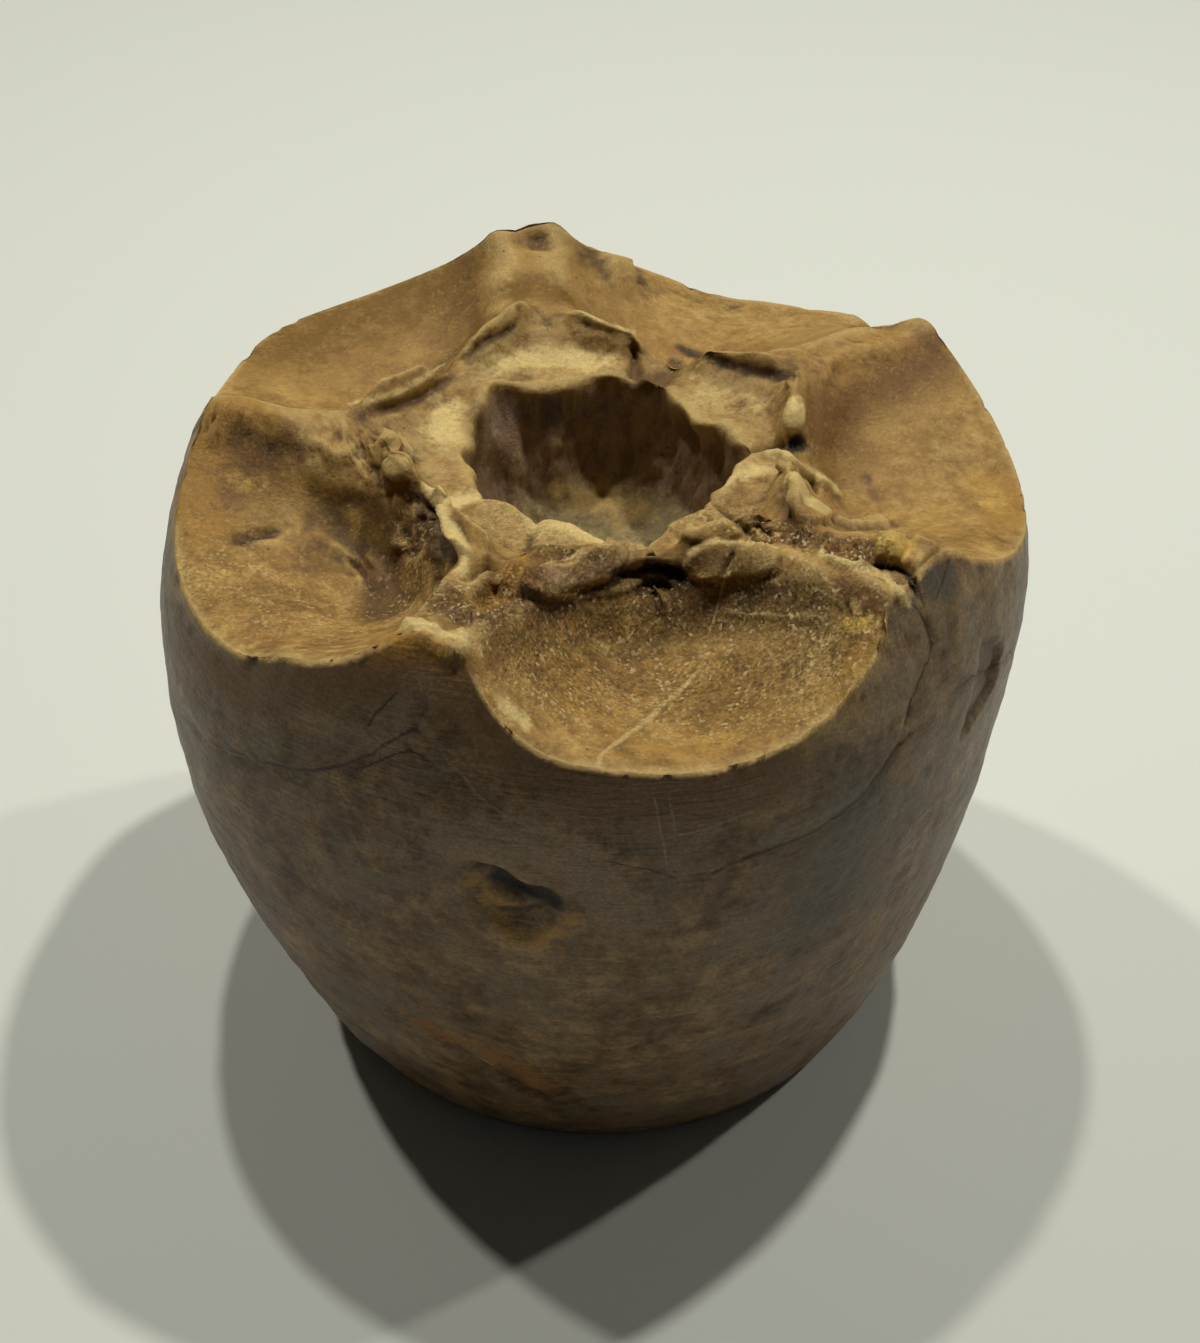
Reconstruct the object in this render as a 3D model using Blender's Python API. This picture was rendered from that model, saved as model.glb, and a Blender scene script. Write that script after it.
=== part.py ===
"""Calyx of a fossil sea lily (crinoid): one barrel-shaped body of grown-together plates.

The base is the round facet that sat on the stem. The top has five dished arm facets that meet
in five corner ridges, and inside them a level ledge with a round body cavity in its middle.
A turned blank is made first, then every ring of it is pulled to the shape of the calyx.

Lengths are in millimetres and azimuths in degrees (0 is +X, 90 is +Y) until the mesh is made.
"""

import math

import bmesh
import bpy
import numpy as np

NAME = "calyx"
COLLECTION = "fossil_crinoid_calyx"
MM = 0.001

# Rings of the body: columns around it, rings on the wall and in the cavity, and how far each
# ring of the upper side lies between the wall and the lip, or between the lip and the cavity rim
SECTORS = 100
WALL_RINGS = 12
CAVITY_RINGS = 8
FACET_SHARES = (0.93, 0.84, 0.73, 0.61, 0.49, 0.38, 0.29, 0.215, 0.15, 0.095, 0.045, 0.0)
LEDGE_SHARES = (0.84, 0.66, 0.36)
SPIN_MERGE = 0.001

# Wall of the cup
CORNER_HEIGHT = 37.0
WIDEST_RADIUS = 22.9
WIDEST_HEIGHT = 26.5
FOOT_RADIUS = 16.7
SHOULDER_DRAW_IN = 2.9
SHOULDER_POWER = 2.5
FULL_SHOULDER = 1.4
FULL_SHOULDER_AZIMUTH = 22.0
BODY_LEAN = 0.85
BODY_LEAN_HEIGHT = 20.0
BODY_LEAN_SPAN = 15.0
FACET_BULGE = 0.25

# Stem facet under the base
REST_INNER_RADIUS = 10.0
REST_OUTER_RADIUS = 15.0
BASE_EDGE_HEIGHT = 1.1
STEM_HOLLOW = 0.6
LUMEN_RADIUS = 1.3
LUMEN_DEPTH = 1.8

# Ledge and body cavity
LEDGE_HEIGHT = 35.0
RIM_RADIUS = 7.1
RIM_NOTCH_AZIMUTH = -77.0
RIM_NOTCH = 1.3
RIM_NOTCH_WIDTH = 9.0
RIM_DROP = 0.15
CAVITY_FLOOR_HEIGHT = 27.4
CAVITY_RIBS = 16
CAVITY_RIB_DEPTH = 0.3

# Corner ridges: azimuth, half width at the ledge and at the wall on the side of smaller azimuth,
# the same two on the side of greater azimuth, and extra height at the wall
CORNERS = {
    "back": (103.0, 0.8, 1.5, 2.8, 1.8, 0.4),
    "back_right": (30.5, 0.7, 0.5, 1.8, 1.5, -0.9),
    "front_right": (-42.5, 2.4, 1.7, 0.6, 3.1, 0.0),
    "front_left": (-111.5, 2.2, 1.6, 1.7, 1.2, -0.1),
    "left": (175.5, 0.5, 0.4, 2.2, 0.9, 0.1),
}
RIDGE_FOOT_RADIUS = 8.6
RIDGE_RISE_RADIUS = 12.5
RIDGE_RISE = 1.4

# Arm facets: corner at the smaller azimuth, corner at the greater one, distance of the lip from
# the axis, depth inside and at the wall, and power of the side slopes
FACETS = {
    "front": ("front_left", "front_right", 9.6, 4.9, 5.1, 2.2),
    "right": ("front_right", "back_right", 9.7, 4.2, 4.7, 1.7),
    "back_right": ("back_right", "back", 9.4, 4.0, 4.9, 1.8),
    "back_left": ("back", "left", 10.6, 3.6, 3.0, 2.6),
    "left": ("left", "front_left", 9.8, 5.2, 3.9, 2.2),
}
FACET_HALF_TURN = 60.0
LIP_SLOPE_RUN = 3.3
LIP_RISE = 1.1
LIP_HALF_WIDTH = 0.62
LIP_REACH = 5.2
LIP_FADE = 1.6
CANAL_HALF_WIDTH = 1.1
CANAL_HALF_HEIGHT = 0.65
CANAL_DEPTH = 1.5
CANAL_SETBACK = 1.1

# Lumps and hollows of the upper side: azimuth, radius, rise or (negative) depth, half width
TOP_MARKS = {
    "left_facet_hollow": (-172.0, 12.6, -1.1, 2.6),
    "left_facet_fold": (-150.0, 13.6, 0.6, 0.9),
    "left_lip_ball": (-163.0, 10.6, 0.7, 0.9),
    "back_corner_knob": (108.0, 20.6, 0.5, 1.1),
    "back_corner_peak": (98.0, 20.8, 0.9, 1.4),
    "back_corner_pit": (102.0, 18.6, -0.9, 0.9),
    "front_left_ridge_hollow": (-109.5, 14.3, -0.8, 0.9),
    "front_right_crumb": (-38.0, 17.3, 0.8, 0.8),
    "front_right_crack": (-43.0, 18.8, -0.8, 0.7),
}

# Healed pit in the front wall
PIT_AZIMUTH = -99.0
PIT_HEIGHT = 25.4
PIT_HALF_LENGTH = 1.7
PIT_HALF_HEIGHT = 1.1
PIT_DEPTH = 0.9

STONE_COLOUR = (0.21, 0.15, 0.095, 1.0)
STONE_ROUGHNESS = 0.55
SHARP_ANGLE = 50.0


def ease(start, end, value):
    """Smooth step from 0 at start to 1 at end."""
    t = np.clip((value - start) / (end - start), 0.0, 1.0)
    return t * t * (3.0 - 2.0 * t)


def hump(offset, half_width):
    """Bell of height 1 that fades out over a few half widths."""
    return np.exp(-((offset / half_width) ** 2))


def turn_between(azimuth, reference):
    """Signed angle in degrees from reference to azimuth."""
    return (azimuth - reference + 180.0) % 360.0 - 180.0


def wall_radius(azimuth, height):
    """Outline of the cup: a barrel that draws in to the stem facet and a little to the corners."""
    below = np.clip((WIDEST_HEIGHT - height) / WIDEST_HEIGHT, 0.0, 1.0)
    above = np.clip((height - WIDEST_HEIGHT) / (CORNER_HEIGHT - WIDEST_HEIGHT), 0.0, 1.3)
    full_side = FULL_SHOULDER * hump(turn_between(azimuth, FULL_SHOULDER_AZIMUTH), 35.0)
    radius = WIDEST_RADIUS - (WIDEST_RADIUS - FOOT_RADIUS) * below**2
    radius = radius - (SHOULDER_DRAW_IN - full_side) * above**SHOULDER_POWER
    swell = FACET_BULGE * np.cos(np.radians(5.0 * (azimuth - CORNERS["left"][0])))
    lean = BODY_LEAN * hump(height - BODY_LEAN_HEIGHT, BODY_LEAN_SPAN)
    return radius - swell * ease(5.0, 25.0, height) - lean * np.cos(np.radians(azimuth))


def ridge_distance(azimuth, radius, corner, side):
    """Distance from the border of a corner ridge, positive on the facet's side of it."""
    corner_azimuth, *widths, _ = CORNERS[corner]
    at_ledge, at_wall = widths[2:] if side > 0 else widths[:2]
    spread = ease(RIDGE_RISE_RADIUS - 1.0, 20.0, radius)
    from_axis = side * radius * np.sin(np.radians(turn_between(azimuth, corner_azimuth)))
    return from_axis - at_ledge - (at_wall - at_ledge) * spread


def facet_middle(facet):
    """Azimuth halfway between a facet's two corners."""
    before, after = FACETS[facet][:2]
    start = CORNERS[before][0]
    return start + turn_between(CORNERS[after][0], start) / 2.0


def facet_depth(facet, azimuth, radius):
    """Depth of one dished facet at the given places, from its lip out to the wall."""
    before, after, lip_distance, inner_depth, outer_depth, side_power = FACETS[facet]
    turn = turn_between(azimuth, facet_middle(facet))
    outward = radius * np.cos(np.radians(turn))
    from_before = ridge_distance(azimuth, radius, before, 1.0)
    from_after = ridge_distance(azimuth, radius, after, -1.0)
    span = np.maximum(from_before + from_after, 0.1)
    across = np.clip(np.abs(from_before - from_after) / span, 0.0, 1.0)
    inside = (np.abs(turn) < FACET_HALF_TURN) & (from_before > 0.0) & (from_after > 0.0)
    slope = ease(lip_distance, lip_distance + LIP_SLOPE_RUN, outward)
    floor = inner_depth + (outer_depth - inner_depth) * ease(13.0, 22.0, outward)
    return np.where(inside, floor * slope * (1.0 - across**side_power), 0.0)


def lip_rise(facet, azimuth, radius):
    """Rise of a facet's two-lobed lip, less the arm canal that opens between the lobes."""
    lip_distance = FACETS[facet][2]
    turn = turn_between(azimuth, facet_middle(facet))
    outward = radius * np.cos(np.radians(turn)) - lip_distance
    sideways = np.abs(radius * np.sin(np.radians(turn)))
    lobes = ease(CANAL_HALF_WIDTH, 2.0 * CANAL_HALF_WIDTH, sideways)
    lobes = lobes - ease(LIP_REACH, LIP_REACH + LIP_FADE, sideways)
    lip = LIP_RISE * lobes * hump(outward, LIP_HALF_WIDTH)
    canal = hump(outward - CANAL_SETBACK, CANAL_HALF_HEIGHT) * hump(sideways, CANAL_HALF_WIDTH)
    return np.where(np.abs(turn) < FACET_HALF_TURN, lip - CANAL_DEPTH * canal, 0.0)


def mark_rise(mark, azimuth, radius):
    """Rise of one named lump, or drop of one hollow, of the upper side."""
    mark_azimuth, mark_radius, rise, half_width = TOP_MARKS[mark]
    turn = np.radians(turn_between(azimuth, mark_azimuth))
    apart = np.hypot(radius * np.cos(turn) - mark_radius, radius * np.sin(turn))
    return rise * hump(apart, half_width)


def top_height(azimuth, radius):
    """Height of the upper side: ledge, corner ridges, lips and dished facets."""
    near = ease(RIDGE_FOOT_RADIUS, RIDGE_RISE_RADIUS, radius)
    far = ease(RIDGE_RISE_RADIUS, 20.0, radius)
    height = LEDGE_HEIGHT + RIDGE_RISE * near
    height = height + (CORNER_HEIGHT - LEDGE_HEIGHT - RIDGE_RISE) * far
    for corner_azimuth, *_, extra in CORNERS.values():
        height = height + extra * hump(turn_between(azimuth, corner_azimuth), 10.0) * far
    for facet in FACETS:
        height = height - facet_depth(facet, azimuth, radius) + lip_rise(facet, azimuth, radius)
    for mark in TOP_MARKS:
        height = height + mark_rise(mark, azimuth, radius)
    return height


def edge_ring(azimuth):
    """Radius and height of the sharp edge where the upper side meets the wall."""
    radius = wall_radius(azimuth, LEDGE_HEIGHT)
    for _ in range(12):
        radius = 0.5 * (radius + wall_radius(azimuth, top_height(azimuth, radius)))
    return radius, top_height(azimuth, radius)


def rim_radius(azimuth):
    """Rim of the body cavity, wavy and notched at the front."""
    wave = 0.25 * np.cos(np.radians(5.0 * azimuth - 20.0))
    wave = wave + 0.15 * np.cos(np.radians(8.0 * azimuth))
    notch = RIM_NOTCH * hump(turn_between(azimuth, RIM_NOTCH_AZIMUTH), RIM_NOTCH_WIDTH)
    return RIM_RADIUS + wave + notch


def lip_radius(azimuth):
    """Radius that follows the pentagon of lips."""
    nearest = np.full_like(azimuth, WIDEST_RADIUS)
    for facet, (_, _, lip_distance, *_) in FACETS.items():
        turn = turn_between(azimuth, facet_middle(facet))
        reach = lip_distance / np.maximum(np.cos(np.radians(turn)), 0.1)
        nearest = np.where(np.abs(turn) < 45.0, np.minimum(nearest, reach), nearest)
    return nearest


def base_rings(azimuth):
    """Stem facet, from the lumen in the middle to the foot of the wall."""
    foot = wall_radius(azimuth, BASE_EDGE_HEIGHT)
    edge = REST_OUTER_RADIUS + 0.7 * (foot - REST_OUTER_RADIUS)
    rings = [
        (0.0, STEM_HOLLOW + LUMEN_DEPTH),
        (0.8 * LUMEN_RADIUS, STEM_HOLLOW + 0.9 * LUMEN_DEPTH),
        (LUMEN_RADIUS, STEM_HOLLOW + 0.1 * LUMEN_DEPTH),
        (1.4 * LUMEN_RADIUS, STEM_HOLLOW),
        (0.6 * REST_INNER_RADIUS, 0.6 * STEM_HOLLOW),
        (REST_INNER_RADIUS, 0.0),
        (REST_OUTER_RADIUS, 0.0),
        (edge, 0.25 * BASE_EDGE_HEIGHT),
        (foot, BASE_EDGE_HEIGHT),
    ]
    circle = np.ones_like(azimuth)
    return [(radius * circle, height * circle) for radius, height in rings]


def wall_rings(azimuth):
    """Rings of the wall above its foot and below its sharp upper edge."""
    _, edge_height = edge_ring(azimuth)
    rings = []
    for step in range(1, WALL_RINGS + 1):
        share = (step / (WALL_RINGS + 1)) ** 0.9
        height = BASE_EDGE_HEIGHT + share * (edge_height - BASE_EDGE_HEIGHT)
        radius = wall_radius(azimuth, height)
        from_pit = np.radians(turn_between(azimuth, PIT_AZIMUTH)) * radius
        pit = hump(from_pit, PIT_HALF_LENGTH) * hump(height - PIT_HEIGHT, PIT_HALF_HEIGHT)
        rings.append((radius - PIT_DEPTH * pit, height))
    return rings


def top_rings(azimuth):
    """Rings from the sharp edge inward over the facets, lips and ledge to the cavity rim."""
    edge_radius, edge_height = edge_ring(azimuth)
    lip = lip_radius(azimuth)
    rim = rim_radius(azimuth)
    radii = [lip + share * (edge_radius - lip) for share in FACET_SHARES]
    radii += [rim + share * (lip - rim) for share in LEDGE_SHARES]
    rings = [(edge_radius, edge_height)]
    rings += [(radius, top_height(azimuth, radius)) for radius in radii]
    rings.append((rim, np.full_like(azimuth, LEDGE_HEIGHT - RIM_DROP)))
    return rings


def cavity_rings(azimuth):
    """Steep wall and bowl floor of the body cavity, down to the axis."""
    rim = rim_radius(azimuth)
    rib = CAVITY_RIB_DEPTH * np.cos(np.radians(CAVITY_RIBS * azimuth))
    depth = LEDGE_HEIGHT - CAVITY_FLOOR_HEIGHT
    rings = []
    for step in range(1, CAVITY_RINGS + 1):
        share = step / CAVITY_RINGS
        fall = depth * math.sin(share * math.pi / 2.0)
        round_off = math.sqrt(1.0 - share**2.4)
        rings.append(((rim - rib) * round_off, np.full_like(azimuth, LEDGE_HEIGHT - fall)))
    return rings


def all_rings(azimuth):
    """Radius and height of every ring at the given azimuths, from the base round to the cavity."""
    rings = base_rings(azimuth) + wall_rings(azimuth) + top_rings(azimuth) + cavity_rings(azimuth)
    return np.array(rings)


def turned_blank():
    """Closed body spun from the mean profile, with each ring's number in the ring layer."""
    even_turns = np.arange(0.0, 360.0, 360.0 / SECTORS)
    mesh = bmesh.new()
    layer = mesh.verts.layers.int.new("ring")
    profile = []
    for ring, (radius, height) in enumerate(all_rings(even_turns).mean(axis=2)):
        vertex = mesh.verts.new((radius, 0.0, height))
        vertex[layer] = ring
        profile.append(vertex)
    edges = [mesh.edges.new(pair) for pair in zip(profile, profile[1:])]
    spun = dict(axis=(0.0, 0.0, 1.0), cent=(0.0, 0.0, 0.0), angle=2.0 * math.pi)
    bmesh.ops.spin(mesh, geom=profile + edges, steps=SECTORS, use_merge=True, **spun)
    bmesh.ops.remove_doubles(mesh, verts=mesh.verts[:], dist=SPIN_MERGE)
    bmesh.ops.reverse_faces(mesh, faces=mesh.faces[:])
    return mesh, layer


def shape_body(mesh, layer):
    """Pulls every ring of the blank to its place on the calyx and centres the body."""
    mesh.verts.ensure_lookup_table()
    places = np.array([vertex.co[:] for vertex in mesh.verts])
    rings = np.array([vertex[layer] for vertex in mesh.verts])
    turn = np.arctan2(places[:, 1], places[:, 0])
    shape = all_rings(np.degrees(turn))
    radius, height = shape[rings, :, np.arange(len(rings))].T
    shaped = np.stack([radius * np.cos(turn), radius * np.sin(turn), height], axis=1)
    middle = (shaped.min(axis=0) + shaped.max(axis=0)) / 2.0
    shaped -= (middle[0], middle[1], shaped[:, 2].min())
    for vertex, place in zip(mesh.verts, shaped * MM):
        vertex.co = place


def stone_material():
    material = bpy.data.materials.new("fossil_stone")
    material.use_nodes = True
    shader = material.node_tree.nodes["Principled BSDF"]
    shader.inputs["Base Color"].default_value = STONE_COLOUR
    shader.inputs["Roughness"].default_value = STONE_ROUGHNESS
    shader.inputs["Metallic"].default_value = 0.0
    return material


def main():
    for item in list(bpy.data.objects):
        bpy.data.objects.remove(item, do_unlink=True)
    collection = bpy.data.collections.new(COLLECTION)
    bpy.context.scene.collection.children.link(collection)
    mesh, layer = turned_blank()
    shape_body(mesh, layer)
    data = bpy.data.meshes.new(NAME)
    mesh.to_mesh(data)
    mesh.free()
    data.materials.append(stone_material())
    data.shade_smooth()
    data.set_sharp_from_angle(angle=math.radians(SHARP_ANGLE))
    collection.objects.link(bpy.data.objects.new(NAME, data))


main()
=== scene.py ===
import math

import bmesh
import bpy
import numpy as np
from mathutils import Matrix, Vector, noise
from mathutils.bvhtree import BVHTree


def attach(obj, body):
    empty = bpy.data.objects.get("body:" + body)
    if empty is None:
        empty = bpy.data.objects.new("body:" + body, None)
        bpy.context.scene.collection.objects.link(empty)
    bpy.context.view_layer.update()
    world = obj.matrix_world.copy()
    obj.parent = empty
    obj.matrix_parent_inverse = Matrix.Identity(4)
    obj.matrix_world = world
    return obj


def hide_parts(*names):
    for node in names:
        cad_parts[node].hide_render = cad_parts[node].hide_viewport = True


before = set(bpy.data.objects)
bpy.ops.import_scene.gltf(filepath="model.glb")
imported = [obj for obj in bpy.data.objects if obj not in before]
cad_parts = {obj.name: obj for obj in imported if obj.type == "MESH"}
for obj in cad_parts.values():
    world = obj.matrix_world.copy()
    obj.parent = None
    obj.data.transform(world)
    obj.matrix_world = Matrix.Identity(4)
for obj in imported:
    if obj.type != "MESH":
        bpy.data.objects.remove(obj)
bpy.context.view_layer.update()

# Lengths are in millimetres until a mesh, lamp or camera is made. Pixels are in the
# 1200x1343 frame of the photograph, and each one is cast onto the CAD calyx before use. A path
# lists its pixels as x,y pairs.
MM = 0.001
NODE = "calyx"
TINY = 1e-9

# The noise of mathutils starts from the clock unless it is given a seed
NOISE_SEED = 7

# Camera, fitted to the corners and the outline of the calyx in the photograph
IMAGE_SIZE = (1200, 1343)
CAMERA_PLACE = (0.425, -94.525, 99.52)
CAMERA_ELEVATION = 40.0
FOCAL_PIXELS = 2200.0
SENSOR = 36.0

# Lamps: place, width and the brightness that each gives to a white floor
LAMPS = {
    "lamp_far_right": ((793.0, 330.0, 828.0), 45.0, 0.105),
    "lamp_right": ((90.0, 71.0, 320.0), 12.0, 0.34),
    "lamp_left": ((-34.0, 82.0, 322.0), 12.0, 0.255),
    "lamp_far_left": ((-500.0, 357.0, 922.0), 45.0, 0.19),
}
LAMP_COLOUR = (1.0, 0.985, 0.93)
LAMP_TARGET = (0.0, 0.0, 0.0)
SKY_COLOUR = (0.92, 0.96, 1.0)
SKY_STRENGTH = 0.024
BACKDROP_STRENGTH = 0.6
FLOOR_SIZE = 900.0
FLOOR_COLOUR = (0.75, 0.77, 0.69)
FLOOR_ROUGHNESS = 0.8

# Rings of the CAD body where its surface changes, counted from the middle of the base
FOOT_RING = 8
EDGE_RING = 21
LIP_RING = 33
RIM_RING = 37

# CAD mesh: merge distance in metres, fewest edges at its two poles, and ribs of the cavity
WELD = 1e-6
POLE_EDGES = 50
CAD_RIBS = 16
CAD_RIB_DEPTH = 0.3

# Fine rings for each CAD ring, fine columns, and how far these are drawn to the front
RING_STEPS = {"base": 2, "wall": 5, "facets": 6, "ledge": 7, "cavity": 4}
COLUMNS = 440
FRONT_DENSITY = 0.35
FRONT_AZIMUTH = -90.0

# Zones of the surface: the rings between which each one fades in, and fades out
ZONES = {
    "wall": ((FOOT_RING - 0.3, FOOT_RING + 0.3), (EDGE_RING - 0.6, EDGE_RING)),
    "edge": ((EDGE_RING - 0.9, EDGE_RING), (EDGE_RING, EDGE_RING + 0.9)),
    "facets": ((EDGE_RING, EDGE_RING + 1.2), (LIP_RING - 0.6, LIP_RING + 0.6)),
    "terraces": ((25.0, 31.0), (LIP_RING - 0.6, LIP_RING + 0.6)),
    "ledge": ((LIP_RING - 0.5, LIP_RING + 0.5), (RIM_RING, RIM_RING + 1.0)),
    "cavity": ((RIM_RING, RIM_RING + 1.0), None),
    "ribs": ((RIM_RING - 0.6, RIM_RING + 0.8), (42.0, 45.0)),
    "grooves": (None, (RIM_RING + 2.0, RIM_RING + 7.0)),
    "below_edge": (None, (EDGE_RING - 0.2, EDGE_RING)),
    "above_edge": ((EDGE_RING - 1.0, EDGE_RING), None),
    "pale_ledge": ((LIP_RING - 0.2, LIP_RING + 1.4), (RIM_RING - 0.8, RIM_RING + 0.8)),
    "inside": ((RIM_RING + 0.1, RIM_RING + 0.6), None),
    "cavity_floor": ((RIM_RING + 3.0, RIM_RING + 6.5), None),
}

# Noises of the relief: size of a feature, octaves and seed
GRAINS = {
    "broad": (4.5, 3, 1),
    "fine": (1.1, 4, 2),
    "growth": (1.0, 3, 3),
    "grooves": (0.24, 2, 4),
    "chips": (1.3, 3, 6),
    "terraces": (1.0, 2, 7),
    "folds": (3.5, 2, 8),
    "wander": (3.0, 3, 9),
}
GRAIN_SHIFT = (7.3, 2.9, 5.7)
GRAIN_FALL = 1.0
GRAIN_LACUNARITY = 2.0

# Relief: depth of the broad and fine grain in each zone, and of what else shapes it. The foot
# below its last ring stays as the CAD body has it
FOOT_END = FOOT_RING - 0.5
GRAIN_DEPTHS = {"wall": (0.12, 0.03), "facets": (0.06, 0.045), "ledge": (0.1, 0.12), "cavity": (0.0, 0.15)}
GROWTH_DEPTH = 0.035
GROWTH_STRETCH = (0.16, 0.16, 2.4)
TERRACE_DEPTH = 0.07
TERRACE_STRETCH = (0.03, 1.1, 0.8)
EDGE_WEAR = (0.06, 0.22)
RIB_SHARE = 0.95
GROOVE_DEPTH = 0.3
GROOVE_SWIRL = 0.05
GROOVE_RISE = 0.02
FOLD_DEPTH = 0.3

# Crystals of the crusts: size, height and seed of each kind, and how their borders are warped
CRYSTALS = ((0.42, 1.0, 1), (0.8, 0.6, 2))
CRYSTAL_SHIFT = (3.1, 8.7, 1.9)
CRYSTAL_WARP = 0.6
CRYSTAL_WARP_SCALE = 0.7
CRUST_SINK = 0.6

# Marks: steps from one pixel of a path to the next, how far bells and masks reach in half
# widths, how far mounds and lines reach, and how ridges and lines end
CURVE_STEPS = 6
BELL_REACH = 3.0
MASK_REACH = 2.5
MOUND_REACH = 3.0
LINE_REACH = 0.9
RIDGE_ENDS = 0.18
RIDGE_END_HEIGHT = 0.25
LINE_ENDS = 0.1
LINE_FAR = 9.0
LEAST_WEIGHT = 1e-4

# Ridges and grooves: half width, height (negative digs) and the pixels it runs through
RIDGES = {
    "front_left_flange": (0.27, 0.75, "427,487 438,500 450,522 457,540 466,554 465,566"),
    "front_left_crest": (0.34, 0.24, "460,570 448,582 432,602 414,626"),
    "flange_foot": (0.35, -0.7, "424,498 434,515 444,540 456,560"),
    "crescent_groove": (0.3, -0.7, "456,577 468,575 478,566 488,562 499,568"),
    "crystal_hollow": (0.36, -0.6, "480,602 490,594 502,587"),
    "small_socket": (0.25, -0.45, "525,590 524,602"),
    "amber_shard": (0.2, 0.45, "521,556 511,572 500,590 488,602"),
    "ledge_step_left": (0.22, -0.25, "545,519 534,530 528,546 515,562"),
    "canal": (0.4, -0.8, "616,576 640,576 664,574 690,581"),
    "canal_sill": (0.45, 0.95, "636,608 652,611 670,608"),
    "slope_crest": (0.2, 0.2, "534,603 565,598 600,592 650,590 700,588"),
    "lobe_foot": (0.16, -0.3, "548,598 580,590 606,582"),
    "right_lobe_crack": (0.14, -0.3, "737,550 731,562 724,576"),
    "ledge_crack_right": (0.2, -0.3, "702,499 722,511 738,524 757,537 780,541"),
    "chip_groove": (0.18, -0.45, "786,481 788,500 793,520 800,532"),
    "second_flake": (0.3, 0.35, "768,451 782,456 795,466 815,477 838,492"),
    "side_canal": (0.4, -0.65, "790,446 800,440 803,453"),
    "side_gap": (0.25, -0.5, "742,452 765,446 785,443"),
    "corner_crack": (0.14, -0.45, "866,563 884,565 898,568 910,576 918,590 924,602"),
    "corner_flake_line": (0.24, 0.35, "822,553 836,562 852,566 868,566 884,577"),
    "corner_thread": (0.13, 0.25, "880,577 890,582 899,594 911,602"),
    "slope_line_upper": (0.14, 0.16, "690,578 725,581 770,583 830,578"),
    "slope_line_middle": (0.13, 0.14, "716,612 755,614 800,617 840,619"),
    "slope_line_lower": (0.2, 0.06, "560,652 600,648 640,649 690,651"),
    "vein_front": (0.14, 0.1, "706,663 680,690 645,722 600,768"),
    "facet_slit": (0.2, -0.5, "233,541 246,537 262,533 280,531"),
    "fold_outer": (0.35, 0.32, "325,540 345,552 360,568 369,586"),
    "fold_inner": (0.3, 0.35, "368,548 378,566 380,590"),
    "fold_groove": (0.2, -0.6, "350,558 362,570 372,590"),
    "left_hole_fill": (0.5, 0.55, "399,536 403,551"),
    "hollow_lumps": (0.5, 0.15, "285,474 310,470 332,479 357,476 386,491"),
    "corner_pit_back": (0.6, -0.3, "534,246 541,250"),
    "back_edge_rise": (1.3, 0.9, "598,266 634,276"),
    "lip_ridge_left": (0.2, 0.16, "446,366 424,380 398,394 356,406"),
    "lip_line_back_left": (0.24, -0.35, "464,356 484,342 505,331 516,324"),
    "lip_line_back": (0.3, -0.12, "572,318 598,329 618,334 634,340"),
    "lip_line_back_right": (0.5, -0.22, "682,349 704,355 735,367 768,375 790,378"),
    "lip_line_left": (0.26, -0.35, "452,376 430,392 404,404 372,412"),
    "rim_notch_back": (0.3, -0.5, "634,342 635,362 634,385"),
    "rim_gully": (0.55, -0.4, "682,354 668,372 654,388"),
    "pit_lid": (0.3, -0.6, "458,862 480,868 500,876 520,886 542,894 562,899"),
    "pit_lower": (0.3, -0.3, "494,909 516,913 533,910 548,903"),
    "pit_fold": (0.32, 0.4, "486,888 505,899 527,904"),
    "pit_rim": (0.6, 0.12, "500,935 530,938 556,922 572,905"),
    "pit_corner": (0.3, -0.4, "552,938 553,941"),
    "seam_left": (0.2, -0.12, "178,706 190,722 212,745 250,760 300,771 345,766 380,750 412,732"),
    "seam_left_branch": (0.2, -0.12, "348,774 380,762 410,752 430,765 450,790"),
    "seam_middle": (0.2, -0.1, "412,732 432,742 455,770 490,805 540,835 600,862 650,872 690,884"),
    "seam_right": (0.22, -0.16, "690,884 740,862 790,843 840,815 872,785 900,745 930,722"),
    "seam_corner_left": (0.2, -0.12, "468,660 440,690 424,712 414,732"),
    "seam_corner_right": (0.16, -0.15, "912,602 925,620 932,650 922,675 910,710 898,742"),
    "low_chip": (0.45, -0.35, "424,1022 446,1043 484,1068 520,1088 556,1103"),
    "right_wall_crack": (0.12, -0.12, "886,612 904,640 920,668"),
    "edge_pit": (0.2, -0.5, "248,664 254,666"),
}

# Level shifts of the surface: reach, and the pixels that a spot is moved from and to
SHIFTS = {
    "rim_front_left": (1.5, "500,519 498,501"),
    "rim_left": (1.2, "476,482 463,488"),
    "rim_front": (1.2, "560,530 560,522"),
    "rim_front_right": (1.2, "704,505 696,498"),
    "back_left_edge": (4.5, "292,345 284,338"),
    "left_corner": (3.0, "222,412 215,408"),
    "rim_back_left": (1.6, "500,402 491,389"),
    "rim_back_right": (1.6, "703,404 692,417"),
    "canal_hole": (1.2, "652,602 655,584"),
}

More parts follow.
